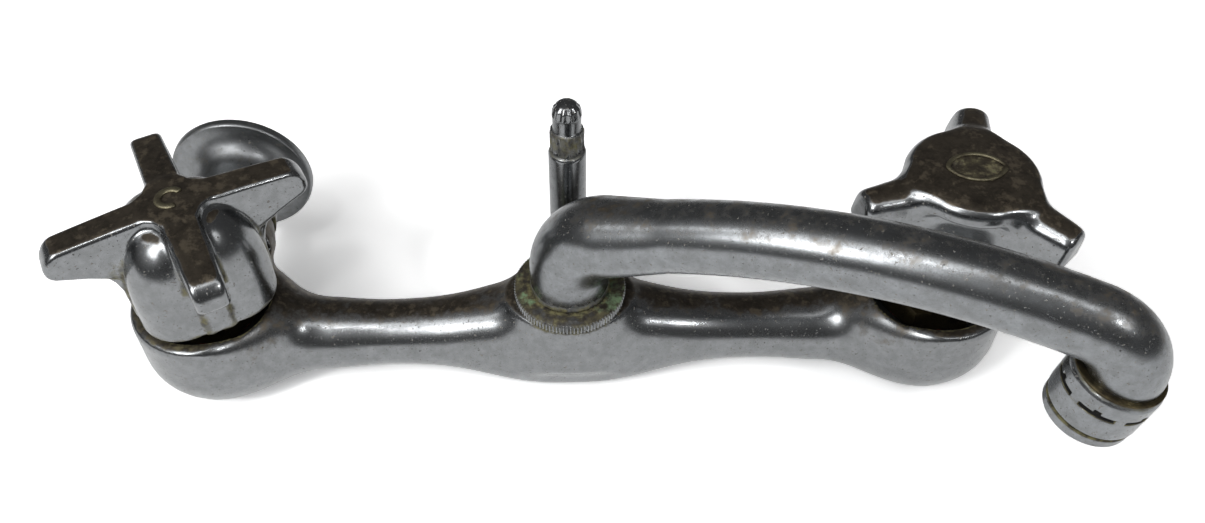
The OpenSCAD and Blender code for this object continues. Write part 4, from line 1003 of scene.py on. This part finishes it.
class FAUCET_OT_stage(bpy.types.Operator):
    """Builds the floor, the soft light and the camera"""

    bl_idname = "faucet.stage"
    bl_label = "Stage"

    def execute(self, context):
        s = Millimetres(context.scene.faucet_stage)
        scene = context.scene
        scene.view_settings.view_transform = "Standard"
        floor_z = foot_and_top("body_casting")[0] - s.floor_gap

        # Matt white paper, paler for the camera than for reflections, so that only the contact shadow shows. It
        # turns plain white for the camera far away, and reflections get a little more of it than it scatters.
        paper = Finish("white_paper")
        seen, mirrored = (paper.add("LightPath", out=ray) for ray in ("Is Camera Ray", "Is Glossy Ray"))
        tone = layered(paper, (s.floor_tone,) * 3 + (1,), (seen, (s.floor_gain,) * 3 + (1,)))
        away = paper.add("VectorMath", paper.add("TexCoord", out="Object"), operation="LENGTH")
        white = paper.add("Math", seen, paper.add("MapRange", away, 0.35, 0.75, **EASED), operation="MULTIPLY")
        lift = paper.add("Emission", Strength=paper.add("Math", mirrored, 0.33, white, operation="MULTIPLY_ADD"))
        paper.add("OutputMaterial", Surface=paper.add("AddShader", paper.add("BsdfDiffuse", Color=tone), lift))
        far, dome_r = 6000, 1800
        corners = far * np.array([[-1, -1, 0], [1, -1, 0], [1, 1, 0], [-1, 1, 0]], float)
        put_mesh("floor", corners, np.array([[0, 1, 2, 3]]), paper.material, (0, 0, floor_z))

        # A white cloth dome of soft light that the camera doesn't see, brightest high up in front on the left
        canopy = Finish("studio_canopy")
        way = canopy.add("VectorMath", canopy.add("TexCoord", out="Object"), (-0.25, -0.22, 0.445),
                         operation="DOT_PRODUCT")
        light = canopy.add("Math", canopy.add("MapRange", way, 0.68, 1.0, **EASED), 0.4, 0.1,
                           operation="MULTIPLY_ADD")
        canopy.add("OutputMaterial", Surface=canopy.add("Emission", Strength=light))
        tilt = np.linspace(0, np.pi / 2, 20)[:, None]
        angle = np.linspace(0, 2 * np.pi, 48, endpoint=False)[None, :]
        dome = dome_r * np.stack([np.sin(tilt) * np.cos(angle), np.sin(tilt) * np.sin(angle),
                                np.cos(tilt) + 0 * angle], -1).reshape(-1, 3)
        dome = put_mesh("canopy", dome, grid_quads(20, 48), canopy.material, (0, 0, floor_z - 5))
        dome.visible_camera = False

        for name, place, width, depth, power in (
                ("overhead", (-50, -330, 910), 2200, 180, 2.6),
                ("left_front", (-450, -560, 690), 420, 460, 2.8),
                ("left_lamp", (-470, -560, 640), 70, 70, 0.9),
                ("middle_lamp", (-120, -430, 820), 70, 70, 0.35),
                ("right_lamp", (500, -560, 640), 70, 70, 0.9)):
            lamp = bpy.data.lights.new(name, "AREA")
            lamp.shape, lamp.size, lamp.size_y, lamp.energy = "RECTANGLE", width * MM, depth * MM, power
            lamp_object = bpy.data.objects.new(name, lamp)
            lamp_object.location = Vector(place) * MM
            lamp_object.rotation_euler = (Vector((0, BAR_Y, 0)) - Vector(place)).to_track_quat("-Z", "Y").to_euler()
            scene.collection.objects.link(lamp_object)

        world = bpy.data.worlds.new("white_surround")
        world.use_nodes = True
        world.node_tree.nodes["Background"].inputs["Color"].default_value = (1, 1, 1, 1)
        scene.world = world

        forward = Vector((math.sin(s.yaw) * math.cos(s.pitch), math.cos(s.yaw) * math.cos(s.pitch),
                          -math.sin(s.pitch)))
        level = Vector((math.cos(s.yaw), -math.sin(s.yaw), 0))
        down = forward.cross(level)
        right = math.cos(s.roll) * level + math.sin(s.roll) * down
        up = math.sin(s.roll) * level - math.cos(s.roll) * down
        lens = bpy.data.cameras.new("camera")
        lens.sensor_width, lens.lens, lens.clip_start = 36, s.lens, 0.01
        lens.shift_x, lens.shift_y = s.shift_x, s.shift_y
        camera = bpy.data.objects.new("camera", lens)
        axes = Matrix((right, up, -forward)).transposed().to_4x4()
        camera.matrix_world = Matrix.Translation(Vector((s.camera_x, s.camera_y, s.camera_z)) * MM) @ axes
        scene.collection.objects.link(camera)
        scene.camera = camera
        return {"FINISHED"}


# ---------- add-on ----------

OPERATORS = (FAUCET_OT_finishes, FAUCET_OT_casting, FAUCET_OT_coupling, FAUCET_OT_cross, FAUCET_OT_disc,
             FAUCET_OT_stem, FAUCET_OT_spout, FAUCET_OT_nut, FAUCET_OT_aerator, FAUCET_OT_stage)
GROUPS = {"faucet_casting": CastingSizes, "faucet_handles": HandleSizes, "faucet_spout": SpoutSizes,
          "faucet_colours": FinishColours, "faucet_stage": StageSizes}


class FAUCET_PT_panel(bpy.types.Panel):
    """Lists the sizes, the colours and the pieces"""

    bl_idname = "FAUCET_PT_panel"
    bl_label = "Faucet"
    bl_space_type = "VIEW_3D"
    bl_region_type = "UI"
    bl_category = "Faucet"

    def draw(self, context):
        for key, group in GROUPS.items():
            box = self.layout.box()
            for field in group.__annotations__:
                box.prop(getattr(context.scene, key), field)
        for operator in OPERATORS:
            self.layout.operator(operator.bl_idname)


def register():
    for key, group in GROUPS.items():
        bpy.utils.register_class(group)
        setattr(bpy.types.Scene, key, PointerProperty(type=group))
    for operator in OPERATORS:
        bpy.utils.register_class(operator)
    bpy.utils.register_class(FAUCET_PT_panel)


def unregister():
    bpy.utils.unregister_class(FAUCET_PT_panel)
    for operator in reversed(OPERATORS):
        bpy.utils.unregister_class(operator)
    for key, group in GROUPS.items():
        delattr(bpy.types.Scene, key)
        bpy.utils.unregister_class(group)


def main():
    register()
    for operator in OPERATORS:
        group, name = operator.bl_idname.split(".")
        getattr(getattr(bpy.ops, group), name)()


if __name__ == "__main__":
    main()
